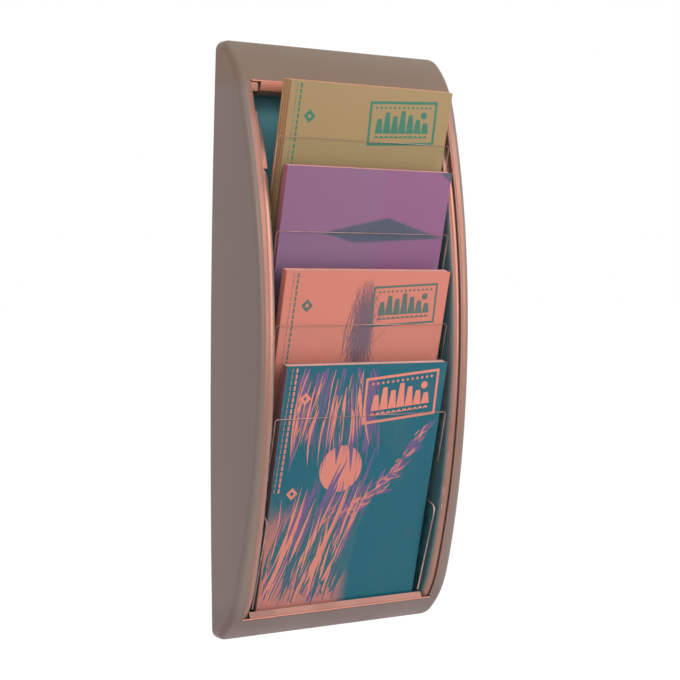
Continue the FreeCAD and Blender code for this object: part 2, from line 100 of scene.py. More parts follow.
class Graph:
    """Short way to place and join the nodes of one material, world or node group."""

    def __init__(self, tree: bpy.types.NodeTree) -> None:
        """Start on an empty tree.

        Args:
            tree: The node tree.
        """
        self.tree = tree
        tree.nodes.clear()

    def fill(self, socket: Socket, value: object) -> None:
        """Join a socket to an input, or set its value.

        Args:
            socket: Input to fill.
            value: A socket to join, or a number, a vector or a colour.
        """
        if isinstance(value, Socket):
            self.tree.links.new(value, socket)
        elif socket.type == "RGBA":
            socket.default_value = (*value, 1.0)
        else:
            socket.default_value = value

    def add(self, kind: str, settings: dict | None = None, **inputs: object) -> bpy.types.Node:
        """Place a node, set its properties and fill or join its inputs.

        Args:
            kind: Type of the node without ShaderNode in front, such as Math.
            settings: Properties of the node.
            **inputs: Values or sockets by input name, with _ for a space, or in0, in1 by place.

        Returns:
            The node.
        """
        node = self.tree.nodes.new(f"ShaderNode{kind}")
        for name, value in (settings or {}).items():
            setattr(node, name, value)
        for name, value in inputs.items():
            by_place = name.startswith("in") and name[2:].isdigit()
            self.fill(node.inputs[int(name[2:]) if by_place else name.replace("_", " ")], value)
        return node

    def put(self, kind: str, settings: dict | None = None, **inputs: object) -> Socket:
        """First output of a node that add places."""
        return self.add(kind, settings, **inputs).outputs[0]

    def math(self, operation: str, *values: object) -> Socket:
        """Output of a math node, such as MAXIMUM, with its inputs in order."""
        return self.put("Math", {"operation": operation}, **{f"in{n}": value for n, value in enumerate(values)})

    def times(self, *values: object) -> Socket:
        """Product of one or more values."""
        return reduce(lambda product, value: self.math("MULTIPLY", product, value), values)

    def mix(self, share: object, first: object, second: object) -> Socket:
        """Colour between two colours, by the share of the second."""
        return self.add("Mix", {"data_type": "RGBA"}, in0=share, in6=first, in7=second).outputs[2]

    def spread(self, value: object, low: float, high: float, to_low: float = 0.0, to_high: float = 1.0,
               kind: str = "SMOOTHSTEP") -> Socket:
        """Map a value from one range onto another, kept within it.

        Args:
            value: Socket to map.
            low: Value that gives to_low.
            high: Value that gives to_high.
            to_low: Result at the low end.
            to_high: Result at the high end.
            kind: SMOOTHSTEP to ease in and out, or LINEAR.

        Returns:
            The mapped value's socket.
        """
        return self.put("MapRange", {"interpolation_type": kind}, in0=value, in1=low, in2=high, in3=to_low,
                        in4=to_high)

    def noise(self, place: Socket, scale: object, detail: float = 2.0, roughness: float = 0.5,
              distortion: float = 0.0) -> Socket:
        """Noise at a place.

        Args:
            place: Socket of the coordinates.
            scale: Scale of the noise, per metre.
            detail: Octaves.
            roughness: Weight of the finer octaves.
            distortion: How far the coordinates are warped.

        Returns:
            The noise value's socket.
        """
        return self.put("TexNoise", Vector=place, Scale=scale, Detail=detail, Roughness=roughness,
                        Distortion=distortion)

    def bump(self, strength: float, depth: float, height: Socket) -> Socket:
        """Normal with a height pressed into it, to a depth in metres."""
        return self.put("Bump", Strength=strength, Distance=depth, Height=height)

    def object_place(self) -> Socket:
        """Coordinates on the piece itself, which ride with it."""
        return self.add("TexCoord").outputs["Object"]


class SharedGroups:
    """Node groups that several finishes use, each built once."""

    def __init__(self) -> None:
        """Start with no group built."""
        self.built: dict[str, bpy.types.NodeTree] = {}

    def start(self, name: str, inputs: dict[str, float | None], outputs: tuple[str, ...],
              vectors: tuple[str, ...] = ()) -> tuple[Graph, dict[str, Socket], dict[str, Socket]]:
        """Make an empty group with named sockets.

        Args:
            name: Name of the group.
            inputs: Default of each input that is a number, or None for a vector, by name.
            outputs: Names of the outputs that are numbers.
            vectors: Names of the outputs that are vectors.

        Returns:
            The group's graph, and its input and output sockets by name.
        """
        tree = bpy.data.node_groups.new(name, "ShaderNodeTree")
        for label, value in inputs.items():
            kind = "NodeSocketVector" if value is None else "NodeSocketFloat"
            socket = tree.interface.new_socket(name=label, in_out="INPUT", socket_type=kind)
            if value is not None:
                socket.default_value = value
        for labels, kind in ((outputs, "NodeSocketFloat"), (vectors, "NodeSocketVector")):
            for label in labels:
                tree.interface.new_socket(name=label, in_out="OUTPUT", socket_type=kind)
        self.built[name] = tree
        graph = Graph(tree)
        given = tree.nodes.new("NodeGroupInput").outputs
        taken = tree.nodes.new("NodeGroupOutput").inputs
        return graph, {s.name: s for s in given}, {s.name: s for s in taken}

    def place(self, graph: Graph, name: str, **inputs: object) -> dict[str, Socket]:
        """Place a group in a material.

        Args:
            graph: Graph of the material.
            name: Name of one of this class's groups.
            **inputs: Values or sockets by input name, with _ for a space.

        Returns:
            The group's output sockets by name.
        """
        if name not in self.built:
            getattr(self, name)()
        node = graph.tree.nodes.new("ShaderNodeGroup")
        node.node_tree = self.built[name]
        for label, value in inputs.items():
            graph.fill(node.inputs[label.replace("_", " ")], value)
        return {socket.name: socket for socket in node.outputs}

    def moulded_grain(self) -> None:
        """Fine grain of moulded plastic: a height for the bump and a mottle for colour and gloss."""
        g, given, taken = self.start("moulded_grain", {"Place": None, "Grain Scale": 900.0, "Mottle Scale": 14.0},
                                     ("Height", "Mottle", "Fleck"))
        place, grain = given["Place"], given["Grain Scale"]
        cells = g.add("TexVoronoi", {"feature": "F1"}, Vector=place, Scale=grain).outputs["Color"]
        g.fill(taken["Height"], g.noise(place, grain, 2.0, 0.55))
        g.fill(taken["Mottle"], g.spread(g.noise(place, given["Mottle Scale"], 3.0), 0.32, 0.68))
        g.fill(taken["Fleck"], g.put("SeparateColor", in0=cells))

    def handling(self) -> None:
        """Marks of use: faint wiped smears and a few fine scratches, both as masks."""
        g, given, taken = self.start("handling", {"Place": None, "Smear Scale": 22.0, "Scratch Scale": 60.0},
                                     ("Smear", "Scratch"))
        place = given["Place"]
        g.fill(taken["Smear"], g.spread(g.noise(place, given["Smear Scale"], 4.0, 0.6, 0.8), 0.5, 0.75))
        lines = []
        for turn in ((0.5, 0.2, 1.1), (1.7, 0.9, 0.4)):
            turned = g.put("Mapping", Vector=place, Rotation=turn, Scale=(1.0, 0.03, 1.0))
            threads = g.noise(turned, given["Scratch Scale"], 3.0)
            lines.append(g.spread(g.math("ABSOLUTE", g.math("SUBTRACT", threads, 0.5)), 0.006, 0.001))
        rare = g.spread(g.noise(place, 30.0), 0.55, 0.7)
        g.fill(taken["Scratch"], g.times(g.math("MAXIMUM", *lines), rare))

    def sloped_place(self) -> None:
        """Place on a cover that leans: across from its spine, up its slope and in from its front."""
        g, given, taken = self.start("sloped_place", {"Corner": None, "Up": None, "In": None},
                                     ("Across", "Up", "In"), ("Flat",))
        from_corner = g.put("VectorMath", {"operation": "SUBTRACT"}, in0=g.object_place(), in1=given["Corner"])
        across = g.put("SeparateXYZ", in0=from_corner)
        up, into = (g.add("VectorMath", {"operation": "DOT_PRODUCT"}, in0=from_corner,
                          in1=given[way]).outputs["Value"] for way in ("Up", "In"))
        flat = g.put("CombineXYZ", X=across, Y=up)
        for label, value in (("Across", across), ("Up", up), ("In", into), ("Flat", flat)):
            g.fill(taken[label], value)

    def paper_fibre(self) -> None:
        """Tooth of paper: a height for the bump and a faint cloud for the colour."""
        g, given, taken = self.start("paper_fibre", {"Place": None, "Fibre Scale": 700.0}, ("Height", "Cloud"))
        g.fill(taken["Height"], g.noise(given["Place"], given["Fibre Scale"], 4.0, 0.7))
        g.fill(taken["Cloud"], g.spread(g.noise(given["Place"], 35.0), 0.3, 0.7))


GROUPS = SharedGroups()


def new_material(name: str) -> tuple[Material, Graph]:
    """Make an empty node material.

    Args:
        name: Name of the material.

    Returns:
        The material and its graph.
    """
    material = bpy.data.materials.new(name)
    material.use_nodes = True
    return material, Graph(material.node_tree)


# Finishes

@dataclass(frozen=True)
class PaintedLightZone:
    """Part of a piece painted in another colour as painted light or shade, within limits that fade in along its axes.

    A limit is an axis, such as z, or |z| for both sides of the middle, and the values that Graph.spread takes.
    """

    colour: Colour
    limits: tuple[tuple, ...]

    def over(self, g: Graph, place: Socket, tone: Socket) -> Socket:
        """Lay the zone's colour over a tone.

        Args:
            g: Graph of the material.
            place: Coordinates on the piece.
            tone: Colour outside the zone.

        Returns:
            The colour's socket.
        """
        parts = dict(zip("xyz", g.add("SeparateXYZ", in0=place).outputs))
        masks = []
        for axis, *limit in self.limits:
            along = parts[axis.strip("|")]
            masks.append(g.spread(g.math("ABSOLUTE", along) if "|" in axis else along, *limit))
        return g.mix(g.times(*masks), tone, self.colour)


# Painted highlight along the window's rim, stronger in the upper half.
RIM_HIGHLIGHT_LIMITS = (("|x|", 0.1325, 0.1275), ("|z|", 0.298, 0.255), ("z", -0.22, 0.0, 0.3, 1.0), ("y", -0.02, -0.03))
# Painted shade on the rails' inner flanks, below the notch.
FLANK_SHADE_LIMITS = (("|x|", 0.1165, 0.1145), ("z", 0.19, 0.17))
# Painted warm lit tone on the hood.
HOOD_LIT_TONE_LIMITS = (("z", 0.262, 0.292, 0.0, 0.85),)
# Painted shade low on the base.
BASE_SHADE_LIMITS = (("z", -0.27, -0.3, 0.0, 0.85),)


@dataclass(frozen=True)
class MouldedFinish:
    """Satin moulded plastic with a metallic sheen in the paint, as on the frame and its rails, with zones of painted
    light and shade laid over its tone.
    """

    name: str
    colour: Colour
    fleck: Colour
    gloss: Point = (0.34, 0.44)
    painted_light_zones: tuple[PaintedLightZone, ...] = ()
    sheen: Colour = (1.0, 0.4, 0.3)
    ior: float = 2.0
    metallic: float = 0.04
    mottle_share: float = 0.35
    fleck_share: float = 0.18
    scratch_share: float = 0.12
    bump: Point = (0.05, 0.0002)

    def material(self) -> Material:
        """Build the material.

        Returns:
            The material.
        """
        material, g = new_material(self.name)
        place = g.object_place()
        grain = GROUPS.place(g, "moulded_grain", Place=place)
        marks = GROUPS.place(g, "handling", Place=place)
        tone = g.mix(g.times(grain["Mottle"], self.mottle_share), self.colour, self.fleck)
        tone = g.mix(g.times(grain["Fleck"], self.fleck_share), tone, self.fleck)
        # Painted light and shade: each zone lays a painted highlight, a lit tone or a shade over the tone.
        for zone in self.painted_light_zones:
            tone = zone.over(g, place, tone)
        rough = g.spread(grain["Mottle"], 0.0, 1.0, *self.gloss)
        rough = g.math("ADD", rough, g.times(marks["Scratch"], self.scratch_share))
        surface = g.put("BsdfPrincipled", Base_Color=tone, Metallic=self.metallic, Roughness=rough, IOR=self.ior,
                        Specular_Tint=self.sheen, Normal=g.bump(*self.bump, grain["Height"]))
        g.add("OutputMaterial", Surface=surface)
        return material


@dataclass(frozen=True)
class PanelFinish:
    """Matt plastic, as on the back panel and in the painted shade of the screw recesses. On the panel the main colour
    is lightened as painted light for the shaded inside of the frame, and the rear and the low part behind the brochures
    take the darker rear colour.
    """

    name: str
    colour: Colour
    rear: Colour | None = None
    rear_depths: Point = (-0.0045, -0.0035)
    covered_heights: Point = (0.15, 0.05)
    covered_share: float = 0.85
    mottle_share: float = 0.22
    rough: float = 0.62
    smear_share: float = 0.12
    bump: Point = (0.25, 0.0003)

    def material(self) -> Material:
        """Build the material.

        Returns:
            The material.
        """
        material, g = new_material(self.name)
        place = g.object_place()
        grain = GROUPS.place(g, "moulded_grain", Place=place, Grain_Scale=500.0, Mottle_Scale=9.0)
        marks = GROUPS.place(g, "handling", Place=place)
        pale = tuple(min(1.0, channel * 1.5 + 0.004) for channel in self.colour)
        tone = g.mix(g.times(grain["Mottle"], self.mottle_share), self.colour, pale)
        # Painted light: the main colour is the lightened lit tone, and the rear face and the low part behind the
        # brochures get the darker rear colour.
        if self.rear is not None:
            _, y, z = g.add("SeparateXYZ", in0=place).outputs
            covered = g.spread(z, *self.covered_heights, 0.0, self.covered_share)
            tone = g.mix(g.math("MAXIMUM", g.spread(y, *self.rear_depths), covered), tone, self.rear)
        rough = g.math("SUBTRACT", self.rough, g.times(marks["Smear"], self.smear_share))
        surface = g.put("BsdfPrincipled", Base_Color=tone, Roughness=rough, Normal=g.bump(*self.bump, grain["Height"]))
        g.add("OutputMaterial", Surface=surface)
        return material


@dataclass(frozen=True)
class SteelFinish:
    """Zinc plated steel of the screws."""

    name: str
    colour: Colour
    gloss: Point = (0.28, 0.42)

    def material(self) -> Material:
        """Build the material.

        Returns:
            The material.
        """
        material, g = new_material(self.name)
        grain = GROUPS.place(g, "moulded_grain", Place=g.object_place(), Grain_Scale=2500.0, Mottle_Scale=300.0)
        pale = tuple(min(1.0, channel * 1.25) for channel in self.colour)
        tone = g.mix(grain["Mottle"], self.colour, pale)
        rough = g.spread(grain["Mottle"], 0.0, 1.0, *self.gloss)
        g.add("OutputMaterial", Surface=g.put("BsdfPrincipled", Base_Color=tone, Metallic=1.0, Roughness=rough))
        return material


@dataclass(frozen=True)
class ClearFinish:
    """Clear acrylic of the pockets, with faint scratches, which lets the lamps through."""

    name: str
    tint: Colour
    ior: float = 1.06
    scratch_share: float = 0.05

    def material(self) -> Material:
        """Build the material.

        Returns:
            The material.
        """
        material, g = new_material(self.name)
        marks = GROUPS.place(g, "handling", Place=g.object_place())
        surface = g.put("BsdfPrincipled", Base_Color=self.tint, Roughness=g.times(marks["Scratch"], self.scratch_share),
                        IOR=self.ior, Transmission_Weight=1.0)
        through = g.put("BsdfTransparent", Color=self.tint)
        rays = g.add("LightPath").outputs
        lamplit = g.math("MAXIMUM", rays["Is Shadow Ray"], rays["Is Diffuse Ray"])
        lamplit = g.math("MAXIMUM", lamplit, rays["Is Glossy Ray"])
        g.add("OutputMaterial", Surface=g.put("MixShader", in0=lamplit, in1=surface, in2=through))
        return material


@dataclass(frozen=True)
class EdgeHighlightFinish:
    """Pale, partly clear strip on the cut edge of a clear sheet: the edge is real, and its paleness is a painted
    highlight of the light that it gathers.
    """

    name: str
    colour: Colour
    bright: Colour
    gloss: Point = (0.14, 0.3)
    cover: Point = (0.35, 0.62)

    def material(self) -> Material:
        """Build the material.

        Returns:
            The material.
        """
        material, g = new_material(self.name)
        mottle = GROUPS.place(g, "moulded_grain", Place=g.object_place(), Grain_Scale=400.0,
                              Mottle_Scale=30.0)["Mottle"]
        rough, cover = (g.spread(mottle, 0.0, 1.0, *ends) for ends in (self.gloss, self.cover))
        tone = g.mix(mottle, self.colour, self.bright)
        g.add("OutputMaterial", Surface=g.put("BsdfPrincipled", Base_Color=tone, Roughness=rough, Alpha=cover))
        return material


class Motif(Enum):
    """Made-up picture printed on a cover, with the method of SoftPicture that draws its soft part."""

    PLAIN = "plain"
    FOLDS = "folds"
    SHEAF = "sheaf"
    DUSK = "dusk"


@dataclass(frozen=True)
class SoftPicture:
    """Soft part of a cover's picture, from shares of its width and length."""

    g: Graph
    ground: Colour
    accent: Colour
    across: Socket
    up: Socket
    flat: Socket

    def beside(self, start: Point, end: Point, soft: float) -> Socket:
        """Mask of what lies to the left of a line, seen along it.

        Args:
            start: Shares at the start of the line.
            end: Shares at its end.
            soft: Width of the soft edge, as a share.

        Returns:
            Socket that is 1 on the left of the line.
        """
        g = self.g
        way_across, way_up = end[0] - start[0], end[1] - start[1]
        size = math.hypot(way_across, way_up)
        flat_across, flat_up = -way_up / size, way_across / size
        reach = start[0] * flat_across + start[1] * flat_up
        line = g.math("ADD", g.times(self.across, flat_across), g.times(self.up, flat_up))
        return g.spread(line, reach - soft, reach + soft)

    def not_beside(self, share: float, start: Point, end: Point, soft: float) -> Socket:
        """Mask of what lies to the right of a line, at a share of its strength."""
        return self.g.times(self.g.math("SUBTRACT", 1.0, self.beside(start, end, soft)), share)

    def plain(self) -> Socket:
        """Ground that deepens towards the foot."""
        return self.g.mix(self.g.spread(self.up, 0.2, 1.0, 0.3, 0.0), self.ground, self.accent)

    def folds(self) -> Socket:
        """Large folded planes, a long dark fold between them and a turned corner.

        Returns:
            Socket of the colour.
        """
        g, ground, accent = self.g, self.ground, self.accent
        glow = (min(1.0, ground[0] * 1.1), ground[1] * 0.85, ground[2])
        tone = g.mix(self.not_beside(0.9, (0.6, 0.5), (0.585, 0.9), 0.035), ground, glow)
        tone = g.mix(self.not_beside(0.25, (0.1, 0.64), (0.95, 0.6), 0.05), tone, accent)
        wedge = ((0.25, 0.757), (0.45, 0.722), (0.99, 0.745), (0.64, 0.82), (0.25, 0.757))
        inside = g.times(*(self.beside(start, end, 0.006) for start, end in zip(wedge, wedge[1:])), 0.95)
        tone = g.mix(inside, tone, accent)
        return g.mix(self.not_beside(0.9, (1.0, 0.962), (0.925, 1.0), 0.008), tone, accent)

    def sheaf(self) -> Socket:
        """Soft shadow of a standing sheaf, narrow at its top and ragged at its sides.

        Returns:
            Socket of the colour.
        """
        g, up = self.g, self.up
        drawn_out = g.put("VectorMath", {"operation": "MULTIPLY"}, in0=self.flat, in1=(1.0, 0.25, 1.0))
        warp = g.times(g.noise(drawn_out, 60.0, 4.0, 0.7), 0.9)
        middle = g.math("ABSOLUTE", g.math("SUBTRACT", self.across, 0.505))
        half = g.spread(up, 0.985, 0.62, 0.03, 0.11, "LINEAR")
        share = g.math("ADD", g.math("DIVIDE", middle, half), warp)
        body = g.times(g.spread(share, 1.35, 0.75), g.spread(up, 0.985, 0.93), g.spread(up, 0.16, 0.45), 0.4)
        return g.mix(body, self.ground, self.accent)

    def dusk(self) -> Socket:
        """Dark evening ground that clears to a pale glow low at the left, under the reeds.

        Returns:
            Socket of the colour.
        """
        g = self.g
        mist = g.noise(self.flat, 22.0, 4.0, 0.6)
        far = g.spread(g.math("ADD", self.across, g.times(mist, 0.12)), 0.62, 0.5)
        low = g.spread(g.math("ADD", self.up, g.times(mist, 0.3)), 0.62, 0.42)
        haze = g.times(g.spread(mist, 0.5, 0.85), 0.08)
        return g.mix(g.math("MAXIMUM", g.times(far, low, 0.85), haze), self.ground, self.accent)


@dataclass(frozen=True)
class CoverFinish:
    """Coated cover paper with its ground colour and the soft part of its picture."""

    name: str
    colour: Colour
    accent: Colour
    spine: Colour
    motif: Motif
    gloss: Point = (0.3, 0.4)
    fold: Point = (0.0014, 0.0005)
    fold_band_share: float = 0.55
    front_skin: Point = (0.0003, 0.0005)
    cloud_share: float = 0.08
    bump: Point = (0.03, 0.0001)

    def material(self, leaf: "Slope") -> Material:
        """Build the material.

        Args:
            leaf: Front of the cover that wears it.

        Returns:
            The material.
        """
        material, g = new_material(self.name)
        spot = GROUPS.place(g, "sloped_place", Corner=leaf.corner, Up=leaf.up, In=leaf.into)
        fibre = GROUPS.place(g, "paper_fibre", Place=g.object_place())
        across = g.math("DIVIDE", spot["Across"], leaf.width)
        up = g.math("DIVIDE", spot["Up"], leaf.length)
        picture = SoftPicture(g, self.colour, self.accent, across, up, spot["Flat"])
        front = getattr(picture, self.motif.value)()
        # Narrow band along the fold, blended towards the spine's colour.
        fold_band = g.times(g.spread(spot["Across"], *self.fold), self.fold_band_share)
        tone = g.mix(g.spread(spot["In"], *self.front_skin), g.mix(fold_band, front, self.spine), self.spine)
        shade = tuple(channel * 0.85 for channel in self.colour)
        tone = g.mix(g.times(fibre["Cloud"], self.cloud_share), tone, shade)
        rough = g.spread(fibre["Cloud"], 0.0, 1.0, *self.gloss)
        surface = g.put("BsdfPrincipled", Base_Color=tone, Roughness=rough,
                        Normal=g.bump(*self.bump, fibre["Height"]), **COATED)
        g.add("OutputMaterial", Surface=surface)
        return material


@dataclass(frozen=True)
class PageFinish:
    """Cut edges of a block of pages: fine lines that run along the sheets."""

    name: str
    colour: Colour
    line: Colour
    sheets_per_metre: float = 4200.0
    drift: float = 9.0
    groove_share: float = 0.45
    cloud_share: float = 0.15
    rough: float = 0.8
    bump: Point = (0.4, 0.0001)

    def material(self, leaf: "Slope") -> Material:
        """Build the material.

        Args:
            leaf: Front of the brochure, which gives the way through the sheets.

        Returns:
            The material.
        """
        material, g = new_material(self.name)
        spot = GROUPS.place(g, "sloped_place", Corner=leaf.corner, Up=leaf.up, In=leaf.into)
        fibre = GROUPS.place(g, "paper_fibre", Place=g.object_place())
        count = g.math("ADD", g.times(spot["In"], self.sheets_per_metre * math.tau),
                       g.times(g.noise(g.object_place(), 40.0), self.drift))
        ridge = g.spread(g.math("SINE", count), -1.0, 1.0, 0.0, 1.0, "LINEAR")
        tone = g.mix(g.times(g.spread(ridge, 0.35, 0.0), self.groove_share), self.colour, self.line)
        tone = g.mix(g.times(fibre["Cloud"], self.cloud_share), tone, self.line)
        surface = g.put("BsdfPrincipled", Base_Color=tone, Roughness=self.rough, Normal=g.bump(*self.bump, ridge))
        g.add("OutputMaterial", Surface=surface)
        return material


@dataclass(frozen=True)
class InkFinish:
    """Printed ink on a cover, a little uneven where it took to the paper."""

    name: str
    colour: Colour
    thin: Colour
    thin_share: float = 0.35

    def material(self) -> Material:
        """Build the material.

        Returns:
            The material.
        """
        material, g = new_material(self.name)
        tooth = GROUPS.place(g, "paper_fibre", Place=g.object_place(), Fibre_Scale=1500.0)["Height"]
        tone = g.mix(g.times(g.spread(tooth, 0.45, 0.7), self.thin_share), self.colour, self.thin)
        rough = g.spread(tooth, 0.3, 0.7, 0.3, 0.45)
        g.add("OutputMaterial", Surface=g.put("BsdfPrincipled", Base_Color=tone, Roughness=rough, **COATED))
        return material


# Making pieces

def mesh_piece(name: str, mesh: Mesh, material: Material) -> bpy.types.Object:
    """Turn a bmesh into an object in the scene, smooth but for its creases.

    Args:
        name: Name of the piece.
        mesh: The mesh, which is freed.
        material: Its material.

    Returns:
        The object.
    """
    data = bpy.data.meshes.new(name)
    bmesh.ops.recalc_face_normals(mesh, faces=mesh.faces)
    for face in mesh.faces:
        face.smooth = True
    for edge in mesh.edges:
        edge.smooth = len(edge.link_faces) == 2 and edge.calc_face_angle() < CREASE
    mesh.to_mesh(data)
    mesh.free()
    data.materials.append(material)
    piece = bpy.data.objects.new(name, data)
    bpy.context.scene.collection.objects.link(piece)
    return piece


def add_piece(name: str, mesh: Mesh, material: Material, body: str) -> None:
    """Turn a bmesh into a piece that rides on a body.

    Args:
        name: Name of the piece.
        mesh: The mesh, which is freed.
        material: Its material.
        body: CAD body that carries it.
    """
    piece = mesh_piece(name, mesh, material)
    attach(piece, body)
    LOG.info("%s added on %s", name, body)


def dress(node: str, material: Material) -> None:
    """Give a CAD node its finish.

    Args:
        node: Name of the node.
        material: The finish.
    """
    piece = frame["nodes"][node]
    if not piece.material_slots:
        piece.data.materials.append(material)
    else:
        for slot in piece.material_slots:
            slot.link = "OBJECT"
            slot.material = material
    LOG.info("%s dressed", node)


def skin(mesh: Mesh, rings: list[list[bmesh.types.BMVert]]) -> None:
    """Join a row of rings with faces and close its two ends.

    Args:
        mesh: Mesh of the rings.
        rings: Rings of as many corners each.
    """
    for low, high in zip(rings, rings[1:]):
        for n, (a, b) in enumerate(zip(low, high)):
            after = (n + 1) % len(low)
            mesh.faces.new((a, low[after], high[after], b))
    mesh.faces.new(rings[0])
    mesh.faces.new(rings[-1])


def carry(mesh: Mesh, path: list[Vector], side: Vector, section: list[Point]) -> None:
    """Carry a closed section along a path and close its ends.

    Args:
        mesh: Mesh that takes the faces.
        path: Points of the path.
        side: Direction of the section's first value, square to the path.
        section: Points of the section: along the side, and outward from the path.
    """
    rings = []
    for n, spot in enumerate(path):
        tangent = (path[min(n + 1, len(path) - 1)] - path[max(n - 1, 0)]).normalized()
        outward = tangent.cross(side).normalized()
        rings.append([mesh.verts.new(spot + side * s + outward * o) for s, o in section])
    skin(mesh, rings)


def arc(radius: float, steps: int, middle: Point = (0.0, 0.0), turn: float = math.tau, start: float = 0.0,
        closed: bool = True) -> list[Point]:
    """Points on a circle, or on an arc of one.

    Args:
        radius: Its radius.
        steps: Number of runs.
        middle: Its centre.
        turn: Angle that it covers.
        start: Angle at which it starts.
        closed: Whether the last point is left out, because it is the first.

    Returns:
        The points.
    """
    angles = [start + turn * n / steps for n in range(steps if closed else steps + 1)]
    return [(middle[0] + radius * math.cos(a), middle[1] + radius * math.sin(a)) for a in angles]


def bar(half: float, outline: list[Point]) -> Mesh:
    """Straight bar across the object.

    Args:
        half: Half its length.
        outline: Corners of its section, as y and z.

    Returns:
        The mesh.
    """
    mesh = bmesh.new()
    skin(mesh, [[mesh.verts.new((x, y, z)) for y, z in outline] for x in (-half, half)])
    return mesh


def bead(half: float, y: float, z: float, radius: float) -> Mesh:
    """Straight round bead across the object."""
    return bar(half, arc(radius, 10, (y, z), start=math.pi / 2))


class Slope:
    """Front face of a leaning brochure, measured on its CAD box and its slide's axis."""

    def __init__(self, node: str, up: Vector, fan: float = 0.0) -> None:
        """Measure the front.

        Args:
            node: CAD node of the brochure's cover.
            up: Axis of the brochure's slide, which runs up the slope.
            fan: How far the copies behind the front one reach out at the spine, in metres.
        """
        low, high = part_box(node)
        sine, cosine = -up.y, up.z
        deep, tall = high.y - low.y, high.z - low.z
        self.length = (tall * cosine - deep * sine) / (cosine ** 2 - sine ** 2)
        self.width = high.x - low.x - fan
        self.corner = Vector((low.x + fan, low.y + self.length * sine, low.z))
        self.up = up.normalized()
        self.into = Vector((0, cosine, sine)).normalized()

    def at(self, across: float, up: float, proud: float) -> Vector:
        """Point over the front: across from the spine, up the slope and proud of the paper, in metres."""
        return self.corner + Vector((across, 0, 0)) + self.up * up - self.into * proud


@dataclass(frozen=True)
class Bow:
    """Side view of the frame's front: a long arc and a tighter one at each end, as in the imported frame."""

    half_height: float = 0.324
    depth: float = 0.0925
    sag: float = 0.039
    end_depth: float = 0.0099
    join_share: float = 0.815

    def depth_at(self, height: float, inset: float = 0.0) -> float:
        """Depth of the front, in front of the wall.

        Args:
            height: Height on the wall.
            inset: How far the line lies behind the front.

        Returns:
            The depth.
        """
        join = self.join_share * self.half_height
        radius = (join ** 2 + self.sag ** 2) / (2 * self.sag)
        sine = join / radius
        cosine = math.sqrt(1 - sine ** 2)
        rise = self.half_height - join
        fall = self.depth - self.sag - self.end_depth
        end_radius = (rise ** 2 + fall ** 2) / (2 * (fall * cosine - rise * sine))
        centre = self.depth - radius
        if abs(height) <= (radius - inset) * sine:
            return centre + math.sqrt((radius - inset) ** 2 - height ** 2)
        offset = abs(height) - (radius - end_radius) * sine
        return centre + (radius - end_radius) * cosine + math.sqrt((end_radius - inset) ** 2 - offset ** 2)

    def path(self, x: float, low: float, high: float, inset: float, steps: int) -> list[Vector]:
        """Points along the bow at one width.

        Args:
            x: The width.
            low: Height of the lower end.
            high: Height of the upper end.
            inset: How far the path lies behind the front.
            steps: Number of runs.

        Returns:
            The points.
        """
        heights = [low + (high - low) * n / steps for n in range(steps + 1)]
        return [Vector((x, -self.depth_at(z, inset), z)) for z in heights]


# Printing on the covers

